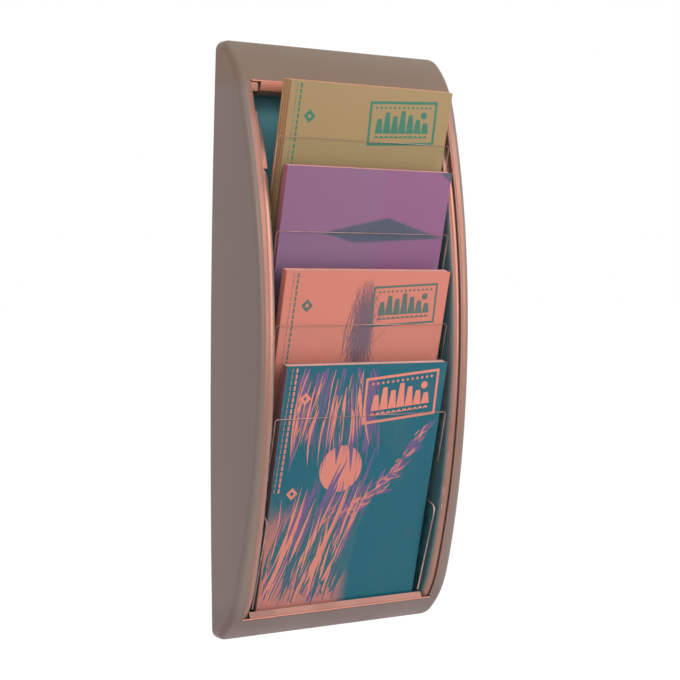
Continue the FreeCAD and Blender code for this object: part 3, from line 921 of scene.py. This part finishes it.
@dataclass
class CoverPrint:
    """Flat shapes of one ink on a cover, in millimetres across from the spine and up from the foot.

    Each shape stands a hair proud of the paper and of the shape before it.
    """

    leaf: Slope
    proud: float
    chance: random.Random
    levels: int = 40
    level_step: float = 0.001
    peaks: tuple[float, ...] = (0.7, 1.0, 0.82, 1.08, 0.88, 0.66, 0.5)
    dots: int = 13
    waves: int = 11
    panel_edge: float = 0.1
    panel_skew: float = 0.04
    # Half width, half height and level of a dot, as shares of the panel
    dot: tuple[float, ...] = (0.02, 0.036, 0.855)
    # Level and reach of the hills, and their half widths at the foot and the top as shares of their pitch
    hill: tuple[float, ...] = (0.27, 0.48, 0.49, 0.26)
    sun: tuple[Point, Point] = ((0.81, 0.68), (0.045, 0.08))
    # Level and crest of a wave, and the share of its pitch that it covers
    wave: tuple[float, ...] = (0.165, 0.035, 0.8)
    wave_widths: tuple[float, ...] = (1.0, 2.0, 2.4, 2.0, 1.0)
    stitch: float = 4.9
    stitch_pitch: float = 6.4
    stitch_columns: tuple[Point, ...] = ((0.0, 2.2), (-5.4, 2.2 * 0.32))
    diamond_half: float = 7.2
    diamond_inner: float = 7.2 * 0.38
    moon_middle: Point = (84, 160)
    moon_radius: float = 27
    willow_top: Point = (225, 277)
    willow_length: Point = (22, 80)
    willow_middle: float = 74
    willow_edges: Point = (18, 190)
    reed_foot: Point = (2, 45)
    reed_lean: Point = (0.1, 0.42)
    reed_edge: float = 150
    mesh: Mesh = field(init=False, default_factory=bmesh.new)
    count: int = field(init=False, default=0)

    def shape(self, outline: list[Point]) -> None:
        """Print one filled outline.

        Args:
            outline: Its points.
        """
        proud = self.proud + self.count % self.levels * self.level_step
        self.count += 1
        skin(self.mesh, [[self.mesh.verts.new(self.leaf.at(x * MM, y * MM, face * MM)) for x, y in outline]
                         for face in (proud, self.proud / 2)])

    def ribbon(self, line: list[Point], widths: list[float]) -> None:
        """Print a ribbon along a line, such as a stalk or a blade.

        Args:
            line: Points of its middle line.
            widths: Its width at each point.
        """
        left, right = [], []
        for n, (x, y) in enumerate(line):
            before, after = line[max(n - 1, 0)], line[min(n + 1, len(line) - 1)]
            way_x, way_y = after[0] - before[0], after[1] - before[1]
            size = math.hypot(way_x, way_y)
            off_x, off_y = -way_y / size * widths[n] / 2, way_x / size * widths[n] / 2
            left.append((x + off_x, y + off_y))
            right.append((x - off_x, y - off_y))
        self.shape(left + right[::-1])

    def stalk(self, foot: Point, head: Point, bend: float, width: float, blunt: float = 0.25) -> None:
        """Print one bent stalk.

        Args:
            foot: Where it starts.
            head: Where it ends.
            bend: How far its middle lies to the side.
            width: Its widest width.
            blunt: Share of the width at its ends.
        """
        way_x, way_y = head[0] - foot[0], head[1] - foot[1]
        size = math.hypot(way_x, way_y)
        line, widths = [], []
        for n in range(9):
            t = n / 8
            off = bend * math.sin(math.pi * t)
            line.append((foot[0] + way_x * t - way_y / size * off, foot[1] + way_y * t + way_x / size * off))
            widths.append(width * (blunt + (1 - blunt) * math.sin(math.pi * min(1.0, t * 0.9 + 0.1))))
        self.ribbon(line, widths)

    def panel(self, corner: Point, width: float, height: float, lean: float, rim: float = 3.0) -> None:
        """Print a framed panel: hills and a sun between a row of dots and a row of waves.

        Args:
            corner: Its lower left corner.
            width: Its width.
            height: Its height.
            lean: How far its right side stands above its left one.
            rim: Width of its frame.
        """
        def on_panel(points: list[Point]) -> list[Point]:
            """Turn shares of the panel into millimetres on the cover."""
            return [(corner[0] + across * width - self.panel_skew * up * height,
                     corner[1] + up * height + across * lean) for across, up in points]

        side, top = rim / width, rim / height
        bars = ((0, 1, 0, top), (0, 1, 1 - top, 1), (0, side, top, 1 - top), (1 - side, 1, top, 1 - top))
        for left, right, low, high in bars:
            self.shape(on_panel([(left, low), (right, low), (right, high), (left, high)]))
        start, span = self.panel_edge, 1 - 2 * self.panel_edge
        half, tall, level = self.dot
        for n in range(self.dots):
            middle = start + span * n / (self.dots - 1)
            self.shape(on_panel([(middle - half, level), (middle, level - tall), (middle + half, level),
                                 (middle, level + tall)]))
        foot, reach, wide, narrow = self.hill
        step = span / len(self.peaks)
        for n, peak in enumerate(self.peaks):
            middle = start + step * (n + 0.5)
            low, high = step * wide, step * narrow
            peak_height = foot + reach * peak
            self.shape(on_panel([(middle - low, foot), (middle + low, foot), (middle + high, peak_height),
                                 (middle - high, peak_height)]))
        (sun_x, sun_y), (sun_wide, sun_tall) = self.sun
        self.shape(on_panel([(sun_x + sun_wide * x, sun_y + sun_tall * y) for x, y in arc(1.0, 16)]))
        level, crest, share = self.wave
        for n in range(self.waves):
            first = start + span * n / self.waves
            line = [(first + span / self.waves * share * t / 4, level + crest * math.sin(math.pi * t / 4))
                    for t in range(5)]
            self.ribbon(on_panel(line), list(self.wave_widths))

    def stitches(self, top: Point, low: Point) -> None:
        """Print a column of dashes beside the spine, with a fainter one nearer to it.

        Args:
            top: Upper end of the column.
            low: Lower end.
        """
        length = top[1] - low[1]
        for shift, width in self.stitch_columns:
            for n in range(int(length / self.stitch_pitch)):
                start = n * self.stitch_pitch
                ends = [(top[0] + (low[0] - top[0]) * along / length + shift, top[1] - along)
                        for along in (start, start + self.stitch)]
                self.ribbon(ends, [width, width])

    def diamond(self, across: float, up: float) -> None:
        """Print a small open diamond.

        Args:
            across: Place of its middle across from the spine.
            up: Place of its middle up from the foot.
        """
        outer = arc(self.diamond_half, 4, (across, up), closed=False)
        inner = arc(self.diamond_inner, 4, (across, up), closed=False)
        for n in range(4):
            self.shape([outer[n], outer[n + 1], inner[n + 1], inner[n]])

    def moon(self) -> None:
        """Print a large low moon."""
        self.shape(arc(self.moon_radius, 48, self.moon_middle))

    def spot(self, across: Point, up: Point) -> Point:
        """Chance place: about a mean with a deviation across, and between two heights."""
        return self.chance.gauss(*across), self.chance.uniform(*up)

    def tuft(self, count: int, feet: tuple[Point, Point], heads: tuple[Point, Point], bend: float,
             widths: Point) -> None:
        """Print a tuft of fine dry stalks.

        Args:
            count: How many.
            feet: Where they start, as spot takes it.
            heads: Where they end.
            bend: Most that they bend to a side.
            widths: Least and greatest width.
        """
        for _ in range(count):
            foot, head = self.spot(*feet), self.spot(*heads)
            self.stalk(foot, head, self.chance.uniform(-bend, bend), self.chance.uniform(*widths))

    def ears(self, count: int) -> None:
        """Print short stalks that spread to both sides at the head of the sheaf.

        Args:
            count: How many.
        """
        for _ in range(count):
            foot = self.spot((106, 9), (180, 245))
            head = (foot[0] + self.chance.uniform(-15, 15), foot[1] + self.chance.uniform(8, 26))
            self.stalk(foot, head, self.chance.uniform(-3, 3), self.chance.uniform(0.35, 0.6))

    def willow(self, count: int, width: float, low: float, spread: Point) -> None:
        """Print thin hanging willow leaves that fall from the top edge.

        Args:
            count: How many.
            width: Their widest width.
            low: Lowest height that they reach.
            spread: First and last place along the top.
        """
        left, right = self.willow_edges
        for _ in range(count):
            x = self.chance.uniform(*spread)
            top = self.chance.uniform(*self.willow_top)
            length = self.chance.uniform(*self.willow_length)
            drift = (x - self.willow_middle) * self.chance.uniform(0.1, 0.5)
            foot = (min(max(x + drift, left), right), max(top - length, low))
            self.stalk((x, top), foot, self.chance.uniform(-0.06, 0.06) * length, self.chance.uniform(0.5, width), 0.06)

    def bank(self, count: int, width: float, reach: float) -> None:
        """Print short blades along a bank that climbs to the right, ever more steeply.

        Args:
            count: How many.
            width: Their widest width.
            reach: Their longest length.
        """
        left, right, low, climb = 70, 186, 104, 0.0068
        for _ in range(count):
            x = self.chance.uniform(left, right)
            y = low + climb * (x - left) ** 2 + self.chance.gauss(0, 5)
            turn = math.radians(self.chance.gauss(34 + 0.1 * (x - left), 12))
            length = self.chance.uniform(0.35, 1.0) * reach
            self.stalk((x, y), (x + length * math.cos(turn), y + length * math.sin(turn)),
                       self.chance.uniform(-1.5, 1.5), self.chance.uniform(0.5, width), 0.1)

    def reeds(self, count: int, width: float, spread: Point, tall: Point) -> None:
        """Print reeds that rise from the foot and lean to the right.

        Args:
            count: How many.
            width: Their widest width.
            spread: First and last place along the foot.
            tall: Least and greatest height.
        """
        for _ in range(count):
            x = self.chance.uniform(*spread)
            foot = self.chance.uniform(*self.reed_foot)
            height = self.chance.uniform(*tall)
            lean = self.chance.uniform(*self.reed_lean) * height
            head = (min(x + lean, self.reed_edge), foot + height)
            self.stalk((x, foot), head, self.chance.uniform(-0.05, 0.04) * height,
                       self.chance.uniform(0.8, width), 0.06)


# The object's sub-assemblies

@dataclass
class Housing:
    """Outer frame, the two rails inside its window and the panel behind."""

    bow: Bow = Bow()
    window_top: float = 0.278
    window_bottom: float = -0.298
    half_window: float = 0.1237
    rail_outside: float = 0.1232
    half_interior: float = 0.113
    seam_inset: float = 0.00135
    seam_radius: float = 0.0013
    seam_foot_gap: float = 0.002
    seam_top: float = 0.245
    seam_steps: int = 72
    roll_radius: float = 0.013
    roll_back: float = 0.0145
    roll_turns: Point = (-2.0, 44.0)
    edge_proud: float = 0.0004
    edge_sunk: float = 0.0001
    edge_inset: float = 0.002
    hood_bead_radius: float = 0.0008
    hood_bead_inset: float = 0.001
    sill_back: Point = (0.0318, 0.0324)
    sill_rise: Point = (0.0062, 0.0064)
    sill_front: float = 0.0014
    base_bead_radius: float = 0.0006
    base_bead_inset: float = 0.0005
    fit: float = 0.0003
    # The frame's zones paint a highlight along the rim, a lit tone on the hood and shade on the base.
    frame_finish: MouldedFinish = MouldedFinish(
        "satin_frame", from_screen(104, 110, 107), from_screen(123, 119, 113),
        painted_light_zones=(PaintedLightZone(from_screen(128, 98, 84), RIM_HIGHLIGHT_LIMITS), PaintedLightZone(from_screen(106, 100, 84), HOOD_LIT_TONE_LIMITS),
               PaintedLightZone(from_screen(90, 94, 96), BASE_SHADE_LIMITS)))
    # The rails' zone paints shade on their inner flanks.
    rail_finish: MouldedFinish = MouldedFinish(
        "satin_rail", from_screen(136, 113, 104), from_screen(160, 123, 109), (0.26, 0.34),
        (PaintedLightZone(from_screen(62, 118, 126), FLANK_SHADE_LIMITS),), (1.0, 0.34, 0.22), 2.3)
    seam_finish: MouldedFinish = MouldedFinish("satin_seam", from_screen(136, 114, 107), from_screen(150, 120, 110))
    sill_finish: MouldedFinish = MouldedFinish("satin_sill", from_screen(104, 88, 82), from_screen(122, 98, 90),
                                               (0.4, 0.5))
    # Finish of the painted highlights on the hood and along the base's lip.
    trim_finish: MouldedFinish = MouldedFinish("bright_trim", from_screen(212, 140, 120), from_screen(232, 152, 130),
                                               (0.22, 0.3))
    # The panel's main colour is lightened as painted light for the shaded inside of the frame; its rear colour is the
    # darker one.
    panel_finish: PanelFinish = PanelFinish("matt_panel", from_screen(104, 175, 189), from_screen(52, 102, 112))

    def build(self) -> None:
        """Dress the frame, the rails and the panel, and add the thin trim."""
        rail = self.rail_finish.material()
        dress("outer_shell", self.frame_finish.material())
        dress("right_rail", rail)
        dress("left_rail", rail)
        dress("back_panel", self.panel_finish.material())
        self.seam_beads(self.seam_finish.material())
        # Painted highlights: a bright strip on the hood's roll and bright beads along the hood and the base's lip.
        trim = self.trim_finish.material()
        self.hood_edge_highlight(trim)
        self.base_sill(self.sill_finish.material(), trim)

    def seam_beads(self, finish: Material) -> None:
        """Close the seam between each rail and the window's edge with a thin bead.

        Args:
            finish: Finish of the beads.
        """
        x = (self.rail_outside + self.half_window) / 2
        foot = self.window_bottom + self.seam_foot_gap
        for name, side in zip(("left", "right"), SIDES):
            mesh = bmesh.new()
            path = self.bow.path(side * x, foot, self.seam_top, self.seam_inset, self.seam_steps)
            carry(mesh, path, Vector((1, 0, 0)), arc(self.seam_radius, 10))
            add_piece(f"{name}_seam_bead", mesh, finish, HOLDER)

    def hood_edge_highlight(self, finish: Material) -> None:
        """Lay a bright strip over the hood's roll, and a thin bright bead along its upper end, as painted highlights.

        Args:
            finish: Finish of the painted highlights.
        """
        y, z = self.roll_back - self.bow.depth_at(self.window_top), self.window_top
        start, turn = (math.radians(angle) for angle in self.roll_turns)
        outer, inner = (arc(-(self.roll_radius + proud), 8, (y, z), turn, start, closed=False)
                        for proud in (self.edge_proud, self.edge_sunk))
        edge = bar(self.half_interior - self.edge_inset, outer + inner[::-1])
        add_piece("hood_roll_highlight", edge, finish, HOLDER)
        thin = bead(self.half_window - self.hood_bead_inset, y - self.roll_radius - self.edge_proud,
                    z + self.edge_proud, self.hood_bead_radius)
        add_piece("hood_highlight_bead", thin, finish, HOLDER)

    def base_sill(self, finish: Material, bright: Material) -> None:
        """Lay the narrow sloping sill that joins the base's lip to the lowest pocket, and a bright bead along the lip
        as a painted highlight.

        Args:
            finish: Finish of the sill.
            bright: Finish of the bead, a painted highlight.
        """
        lip = self.bow.depth_at(self.window_bottom)
        low = self.window_bottom + self.fit
        back, far_back = self.sill_back
        rise, far_rise = self.sill_rise
        section = [(self.sill_front - lip, low), (-back, low), (-back, low + rise), (-far_back, low + far_rise)]
        add_piece("base_sill", bar(self.half_interior, section), finish, HOLDER)
        thin = bead(self.half_window, self.base_bead_inset - lip, self.window_bottom - self.fit,
                    self.base_bead_radius)
        add_piece("base_highlight_bead", thin, bright, HOLDER)


@dataclass
class Fixings:
    """Screws that hold the frame and the rails to the panel."""

    nodes: tuple[str, ...] = ("hood_screws", "base_screws", "right_rail_screws", "left_rail_screws")
    finish: SteelFinish = SteelFinish("zinc_screw", (0.55, 0.56, 0.57))
    # A flat near-black cross on each head is painted shade where the cross recess is.
    recess_finish: PanelFinish = PanelFinish("screw_recess", (0.02, 0.02, 0.021))
    end_place: Point = (0.075, 0.306)
    rail_width: float = 0.1181
    rail_heights: tuple[float, ...] = (-0.286, -0.010, 0.266)
    cross_depths: Point = (-0.0004, -0.00024)
    cross_long: float = 0.0015
    cross_short: float = 0.0004

    def build(self) -> None:
        """Dress the screws and lay a flat dark cross on each head, painted shade for the cross recess."""
        steel = self.finish.material()
        for node in self.nodes:
            dress(node, steel)
        width, height = self.end_place
        places = [(side * width, end * height) for side in SIDES for end in SIDES]
        places += [(side * self.rail_width, level) for side in SIDES for level in self.rail_heights]
        long, short = self.cross_long, self.cross_short
        arm = ((long, short), (short, short), (short, long))
        outline = [*arm, *((-a, b) for a, b in reversed(arm)), *((-a, -b) for a, b in arm),
                   *((a, -b) for a, b in reversed(arm))]
        mesh = bmesh.new()
        for x, z in places:
            skin(mesh, [[mesh.verts.new((x + a, y, z + b)) for a, b in outline] for y in self.cross_depths])
        add_piece("screw_recesses", mesh, self.recess_finish.material(), HOLDER)


@dataclass
class Pockets:
    """The four clear pockets."""

    finish: ClearFinish = ClearFinish("clear_acrylic", (0.975, 0.992, 0.992))
    # Pale strips on the sheets' cut edges are painted highlights.
    edge_finish: EdgeHighlightFinish = EdgeHighlightFinish("polished_edge", from_screen(196, 150, 138), from_screen(244, 196, 182))
    tilt: float = math.radians(13.5)
    reach: float = 0.029
    top_floor: float = 0.004
    pitch: float = 0.099
    half_width: float = 0.110
    sheet: float = 0.002
    bend_radius: float = 0.001
    front_length: float = 0.221
    front_corner: float = 0.003
    front_run: float = 0.06
    wing_length: float = 0.11196
    wing_lead: float = 0.009
    wing_top: float = 0.01201
    wing_round: float = 0.008
    wing_start: float = 0.004
    edge_share: float = 0.42
    edge_span: Point = (-0.0002, 0.0001)

    def build(self) -> None:
        """Dress the pockets and lay pale strips on the edges of their sheets as painted highlights."""
        clear = self.finish.material()
        edge = self.edge_finish.material()
        for number in range(1, POCKETS + 1):
            dress(f"pocket_{number}", clear)
            mesh = bmesh.new()
            self.front_edge(mesh, number)
            for side in SIDES:
                self.wing_edge(mesh, number, side)
            add_piece(f"pocket_{number}_edges", mesh, edge, HOLDER)

    def at(self, number: int, x: float, back: float, up: float) -> Vector:
        """Point of a pocket.

        Args:
            number: The pocket, counted from the top.
            x: Width.
            back: Distance behind the inner face of the front sheet.
            up: Distance up the slope.

        Returns:
            The point in the row frame.
        """
        sine, cosine = math.sin(self.tilt), math.cos(self.tilt)
        floor = self.top_floor - (number - 1) * self.pitch
        return Vector((x, -self.reach - up * sine + back * cosine, floor + up * cosine + back * sine))

    def section(self) -> list[Point]:
        """Section of an edge's highlight strip: nearly as wide as the sheet, and a hair proud of it."""
        half, (low, high) = self.sheet * self.edge_share, self.edge_span
        return [(-half, low), (half, low), (half, high), (-half, high)]

    def front_edge(self, mesh: Mesh, number: int) -> None:
        """Add the pale strip, a painted highlight, along the top edge of the front sheet.

        Args:
            mesh: Mesh that takes it.
            number: The pocket.
        """
        half, corner, top = self.half_width, self.front_corner, self.front_length
        turned = arc(corner, 5, (corner - half, top - corner), -math.pi / 2, math.pi, closed=False)
        outline = [(-half, top - self.front_run), *turned, *((-x, up) for x, up in reversed(turned)),
                   (half, top - self.front_run)]
        path = [self.at(number, x, -self.sheet / 2, up) for x, up in outline]
        back = self.at(number, 0, 1, 0) - self.at(number, 0, 0, 0)
        carry(mesh, path, back, self.section())

    def wing_edge(self, mesh: Mesh, number: int, side: int) -> None:
        """Add the pale strip, a painted highlight, along the front and top edge of a side wall.

        Args:
            mesh: Mesh that takes it.
            number: The pocket.
            side: -1 for the left wall and 1 for the right one.
        """
        foot = Vector((-self.sheet, self.bend_radius))
        shoulder = Vector((-self.sheet - self.wing_lead, self.wing_length))
        rise = (shoulder - foot).normalized()
        start = shoulder - rise * self.wing_round * math.tan((math.pi - math.acos(-rise.x)) / 2)
        centre = start + Vector((rise.y, -rise.x)) * self.wing_round
        first = math.atan2(rise.x, -rise.y)
        turn = (math.pi / 2 - first) % math.tau - math.tau
        bends = arc(self.wing_round, 8, tuple(centre), turn, first, closed=False)
        outline = [foot + rise * self.wing_start, foot.lerp(start, 0.5), *bends, (self.wing_top, self.wing_length)]
        x = side * (self.half_width - self.sheet / 2)
        path = [self.at(number, x, back, up) for back, up in outline]
        carry(mesh, path, Vector((-1, 0, 0)), self.section())


@dataclass(frozen=True)
class Layer:
    """Print of one ink: the piece's name, how proud it stands in millimetres, and what it draws."""

    name: str
    ink: InkFinish
    proud: float
    shapes: tuple[tuple, ...]


@dataclass
class Brochure:
    """One brochure: its cover, its pages and what is printed on it."""

    number: int
    slot: str
    finish: CoverFinish
    layers: tuple[Layer, ...] = ()
    fan: float = 0.0
    edge: Colour = from_screen(240, 190, 176)
    line: Colour = from_screen(150, 105, 98)

    def build(self) -> None:
        """Measure the brochure's front, dress the cover and the pages and print the cover."""
        body = f"brochure_{self.number}"
        joint = next(j for j in frame["joints"] if j["child"] == body)
        leaf = Slope(f"{body}_cover", Vector(joint["axis"]), self.fan)
        dress(f"{body}_cover", self.finish.material(leaf))
        dress(f"{body}_pages", PageFinish(f"page_edges_{self.number}", self.edge, self.line).material(leaf))
        chance = random.Random(self.number)
        inks = {ink: ink.material() for ink in dict.fromkeys(layer.ink for layer in self.layers)}
        for layer in self.layers:
            sheet = CoverPrint(leaf, layer.proud, chance)
            for draw, *sizes in layer.shapes:
                draw(sheet, *sizes)
            add_piece(f"cover_{self.number}_{layer.name}", sheet.mesh, inks[layer.ink], body)


def brochures() -> list[Brochure]:
    """The four brochures, from the top pocket down.

    Returns:
        The brochures, not yet dressed.
    """
    green = InkFinish("green_ink", from_screen(46, 112, 90), from_screen(84, 124, 94))
    grey_green = InkFinish("grey_green_ink", from_screen(84, 104, 98), from_screen(124, 110, 102))
    stalk = InkFinish("stalk_ink", from_screen(112, 88, 102), from_screen(140, 100, 104))
    pale = InkFinish("pale_ink", from_screen(222, 132, 115), from_screen(196, 122, 112))
    violet = InkFinish("violet_ink", from_screen(112, 84, 128), from_screen(86, 90, 118))
    dark = InkFinish("dark_ink", from_screen(44, 96, 108), from_screen(70, 98, 112))
    ochre = CoverFinish("ochre_cover", from_screen(157, 130, 88), from_screen(142, 126, 86),
                        from_screen(194, 146, 106), Motif.PLAIN)
    mauve = CoverFinish("mauve_cover", from_screen(134, 95, 126), from_screen(70, 80, 94),
                        from_screen(176, 106, 122), Motif.FOLDS)
    salmon = CoverFinish("salmon_cover", from_screen(206, 124, 108), from_screen(112, 92, 104),
                         from_screen(216, 128, 112), Motif.SHEAF)
    dusk = CoverFinish("dusk_cover", from_screen(14, 92, 108), from_screen(206, 122, 108),
                       from_screen(140, 104, 108), Motif.DUSK)
    panel, stitches, diamond = CoverPrint.panel, CoverPrint.stitches, CoverPrint.diamond
    willow, bank, reeds = CoverPrint.willow, CoverPrint.bank, CoverPrint.reeds
    plain_layers = (
        Layer("print", green, 0.06, ((panel, (102.5, 215.5), 87.5, 48.0, 4.6),
                                     (stitches, (13.2, 277.0), (10.5, 8.0)), (diamond, 27.1, 243.0))),)
    sheaf_layers = (
        Layer("sheaf", stalk, 0.04, (
            (CoverPrint.tuft, 105, ((103, 11), (158, 200)), ((106, 7), (228, 271)), 8, (0.45, 0.85)),
            (CoverPrint.ears, 85),
            (CoverPrint.tuft, 150, ((103, 22), (24, 60)), ((103, 9), (140, 185)), 6, (0.5, 1.0)))),
        Layer("print", grey_green, 0.1, ((panel, (113.0, 217.2), 84.5, 45.5, 4.4, 2.4),
                                         (stitches, (15.2, 277.0), (11.8, 8.0)), (diamond, 30.2, 241.7))))
    dusk_layers = (
        Layer("moon", pale, 0.03, ((CoverPrint.moon,),)),
        Layer("violet_blades", violet, 0.05, ((willow, 110, 6.5, 150, (16, 116)), (bank, 90, 4.6, 26),
                                              (reeds, 52, 7.5, (2, 96), (60, 150)))),
        Layer("dark_blades", dark, 0.095, ((reeds, 30, 7.0, (0, 100), (50, 120)),
                                           (willow, 40, 4.4, 150, (30, 120)))),
        Layer("pale_blades", pale, 0.14, ((willow, 48, 2.6, 165, (16, 104)), (bank, 85, 1.9, 14),
                                          (reeds, 34, 4.6, (2, 92), (50, 130)))),
        Layer("dark_streaks", dark, 0.185, ((reeds, 30, 2.8, (0, 92), (40, 105)),
                                            (willow, 26, 2.0, 170, (20, 104)))),
        Layer("print", pale, 0.23, ((panel, (103.0, 209.5), 95.5, 53.0, 9.0),
                                    (stitches, (12.8, 276.0), (8.7, 129.0)),
                                    (diamond, 27.1, 242.0), (diamond, 26.0, 134.7))))
    return [Brochure(1, "cover_ochre", ochre, plain_layers, 0.0024), Brochure(2, "cover_mauve", mauve),
            Brochure(3, "cover_salmon", salmon, sheaf_layers), Brochure(4, "cover_teal", dusk, dusk_layers)]


# The studio

def seen_directly(g: Graph) -> Socket:
    """Mask of the rays that come from the camera, a mirroring surface or a clear one, before any matt one.

    Args:
        g: Graph of the floor's material or of the world.

    Returns:
        Socket that is 1 for those rays.
    """
    rays = g.add("LightPath").outputs
    seen = g.math("MAXIMUM", rays["Is Camera Ray"], rays["Is Transmission Ray"])
    seen = g.math("MAXIMUM", seen, rays["Is Glossy Ray"])
    return g.times(seen, g.math("LESS_THAN", rays["Diffuse Depth"], 0.5))


@dataclass
class Studio:
    """Pale floor and surroundings, soft lamps and the camera of the photograph."""

    focal_pixels: float = 1550.9
    picture_pixels: float = 680.0
    sensor_mm: float = 36.0
    clip: Point = (0.05, 200.0)
    yaw: float = math.radians(32.036)
    pitch: float = math.radians(2.621)
    roll: float = math.radians(0.573)
    eye: tuple[float, float, float] = (-0.9137, -1.4921, 0.0806)
    floor_drop: float = 0.5
    floor_size: float = 60.0
    floor_tones: tuple[Colour, Colour] = ((0.5, 0.5, 0.5), (0.54, 0.54, 0.54))
    floor_glow: float = 0.66
    world_light: float = 0.6

    def camera(self) -> None:
        """Set the camera where the photograph was taken from."""
        data = bpy.data.cameras.new("studio_camera")
        data.sensor_width = self.sensor_mm
        data.lens = self.focal_pixels / self.picture_pixels * self.sensor_mm
        data.clip_start, data.clip_end = self.clip
        ahead = Vector((math.sin(self.yaw) * math.cos(self.pitch), math.cos(self.yaw) * math.cos(self.pitch),
                        -math.sin(self.pitch)))
        level = Vector((math.cos(self.yaw), -math.sin(self.yaw), 0.0))
        above = level.cross(ahead)
        right = level * math.cos(self.roll) + above * math.sin(self.roll)
        up = above * math.cos(self.roll) - level * math.sin(self.roll)
        turn = Matrix((right, up, -ahead)).transposed().to_4x4()
        camera = bpy.data.objects.new("studio_camera", data)
        camera.matrix_world = Matrix.Translation(Vector(self.eye)) @ turn
        bpy.context.scene.collection.objects.link(camera)
        bpy.context.scene.camera = camera

    def floor(self) -> None:
        """Lay the pale floor, which glows a little where it is seen."""
        half = self.floor_size / 2
        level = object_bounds()[0].z - self.floor_drop
        mesh = bmesh.new()
        mesh.faces.new([mesh.verts.new((x * half, y * half, level)) for x, y in ((-1, -1), (1, -1), (1, 1), (-1, 1))])
        material, g = new_material("pale_floor")
        tone = g.mix(g.noise(g.object_place(), 3.0), *self.floor_tones)
        matt = g.put("BsdfPrincipled", Base_Color=tone, Roughness=0.9)
        glow = g.put("Emission", Strength=g.times(seen_directly(g), self.floor_glow))
        g.add("OutputMaterial", Surface=g.put("AddShader", in0=matt, in1=glow))
        mesh_piece("floor", mesh, material)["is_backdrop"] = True

    def surroundings(self) -> None:
        """Make a world that looks white and lights softly."""
        world = bpy.data.worlds.new("studio_world")
        world.use_nodes = True
        bpy.context.scene.world = world
        w = Graph(world.node_tree)
        lit, shown = (w.put("Background", Color=WHITE, Strength=strength) for strength in (self.world_light, 1.0))
        w.add("OutputWorld", Surface=w.put("MixShader", in0=seen_directly(w), in1=lit, in2=shown))

    def lamp(self, name: str, place: Vector, aim: Vector, power: float, size: Point) -> None:
        """Set one soft rectangular lamp.

        Args:
            name: Name of the lamp.
            place: Where it stands.
            aim: The point that it faces.
            power: Its power in watts.
            size: Its width and height in metres.
        """
        data = bpy.data.lights.new(name, "AREA")
        data.shape = "RECTANGLE"
        data.size, data.size_y = size
        data.energy = power
        lamp = bpy.data.objects.new(name, data)
        lamp.location = place
        lamp.rotation_euler = (aim - place).to_track_quat("-Z", "Y").to_euler()
        bpy.context.scene.collection.objects.link(lamp)

    def build(self) -> None:
        """Set the studio up."""
        self.camera()
        self.floor()
        self.surroundings()
        self.lamp("key_lamp", Vector((0.96, -1.43, 0.5)), Vector((0.0, -0.05, 0.02)), 20.0, (0.9, 1.3))
        self.lamp("fill_lamp", Vector((-1.1, -1.6, 0.55)), Vector((0.0, -0.03, 0.1)), 7.0, (0.9, 0.9))
        bpy.context.scene.view_settings.view_transform = "Standard"


def main() -> None:
    """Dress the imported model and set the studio."""
    logging.basicConfig(level=logging.INFO, format="%(message)s")
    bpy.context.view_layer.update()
    for part in (Housing(), Fixings(), Pockets(), *brochures(), Studio()):
        part.build()
        LOG.info("%s done", type(part).__name__)


if __name__ == "__main__":
    main()
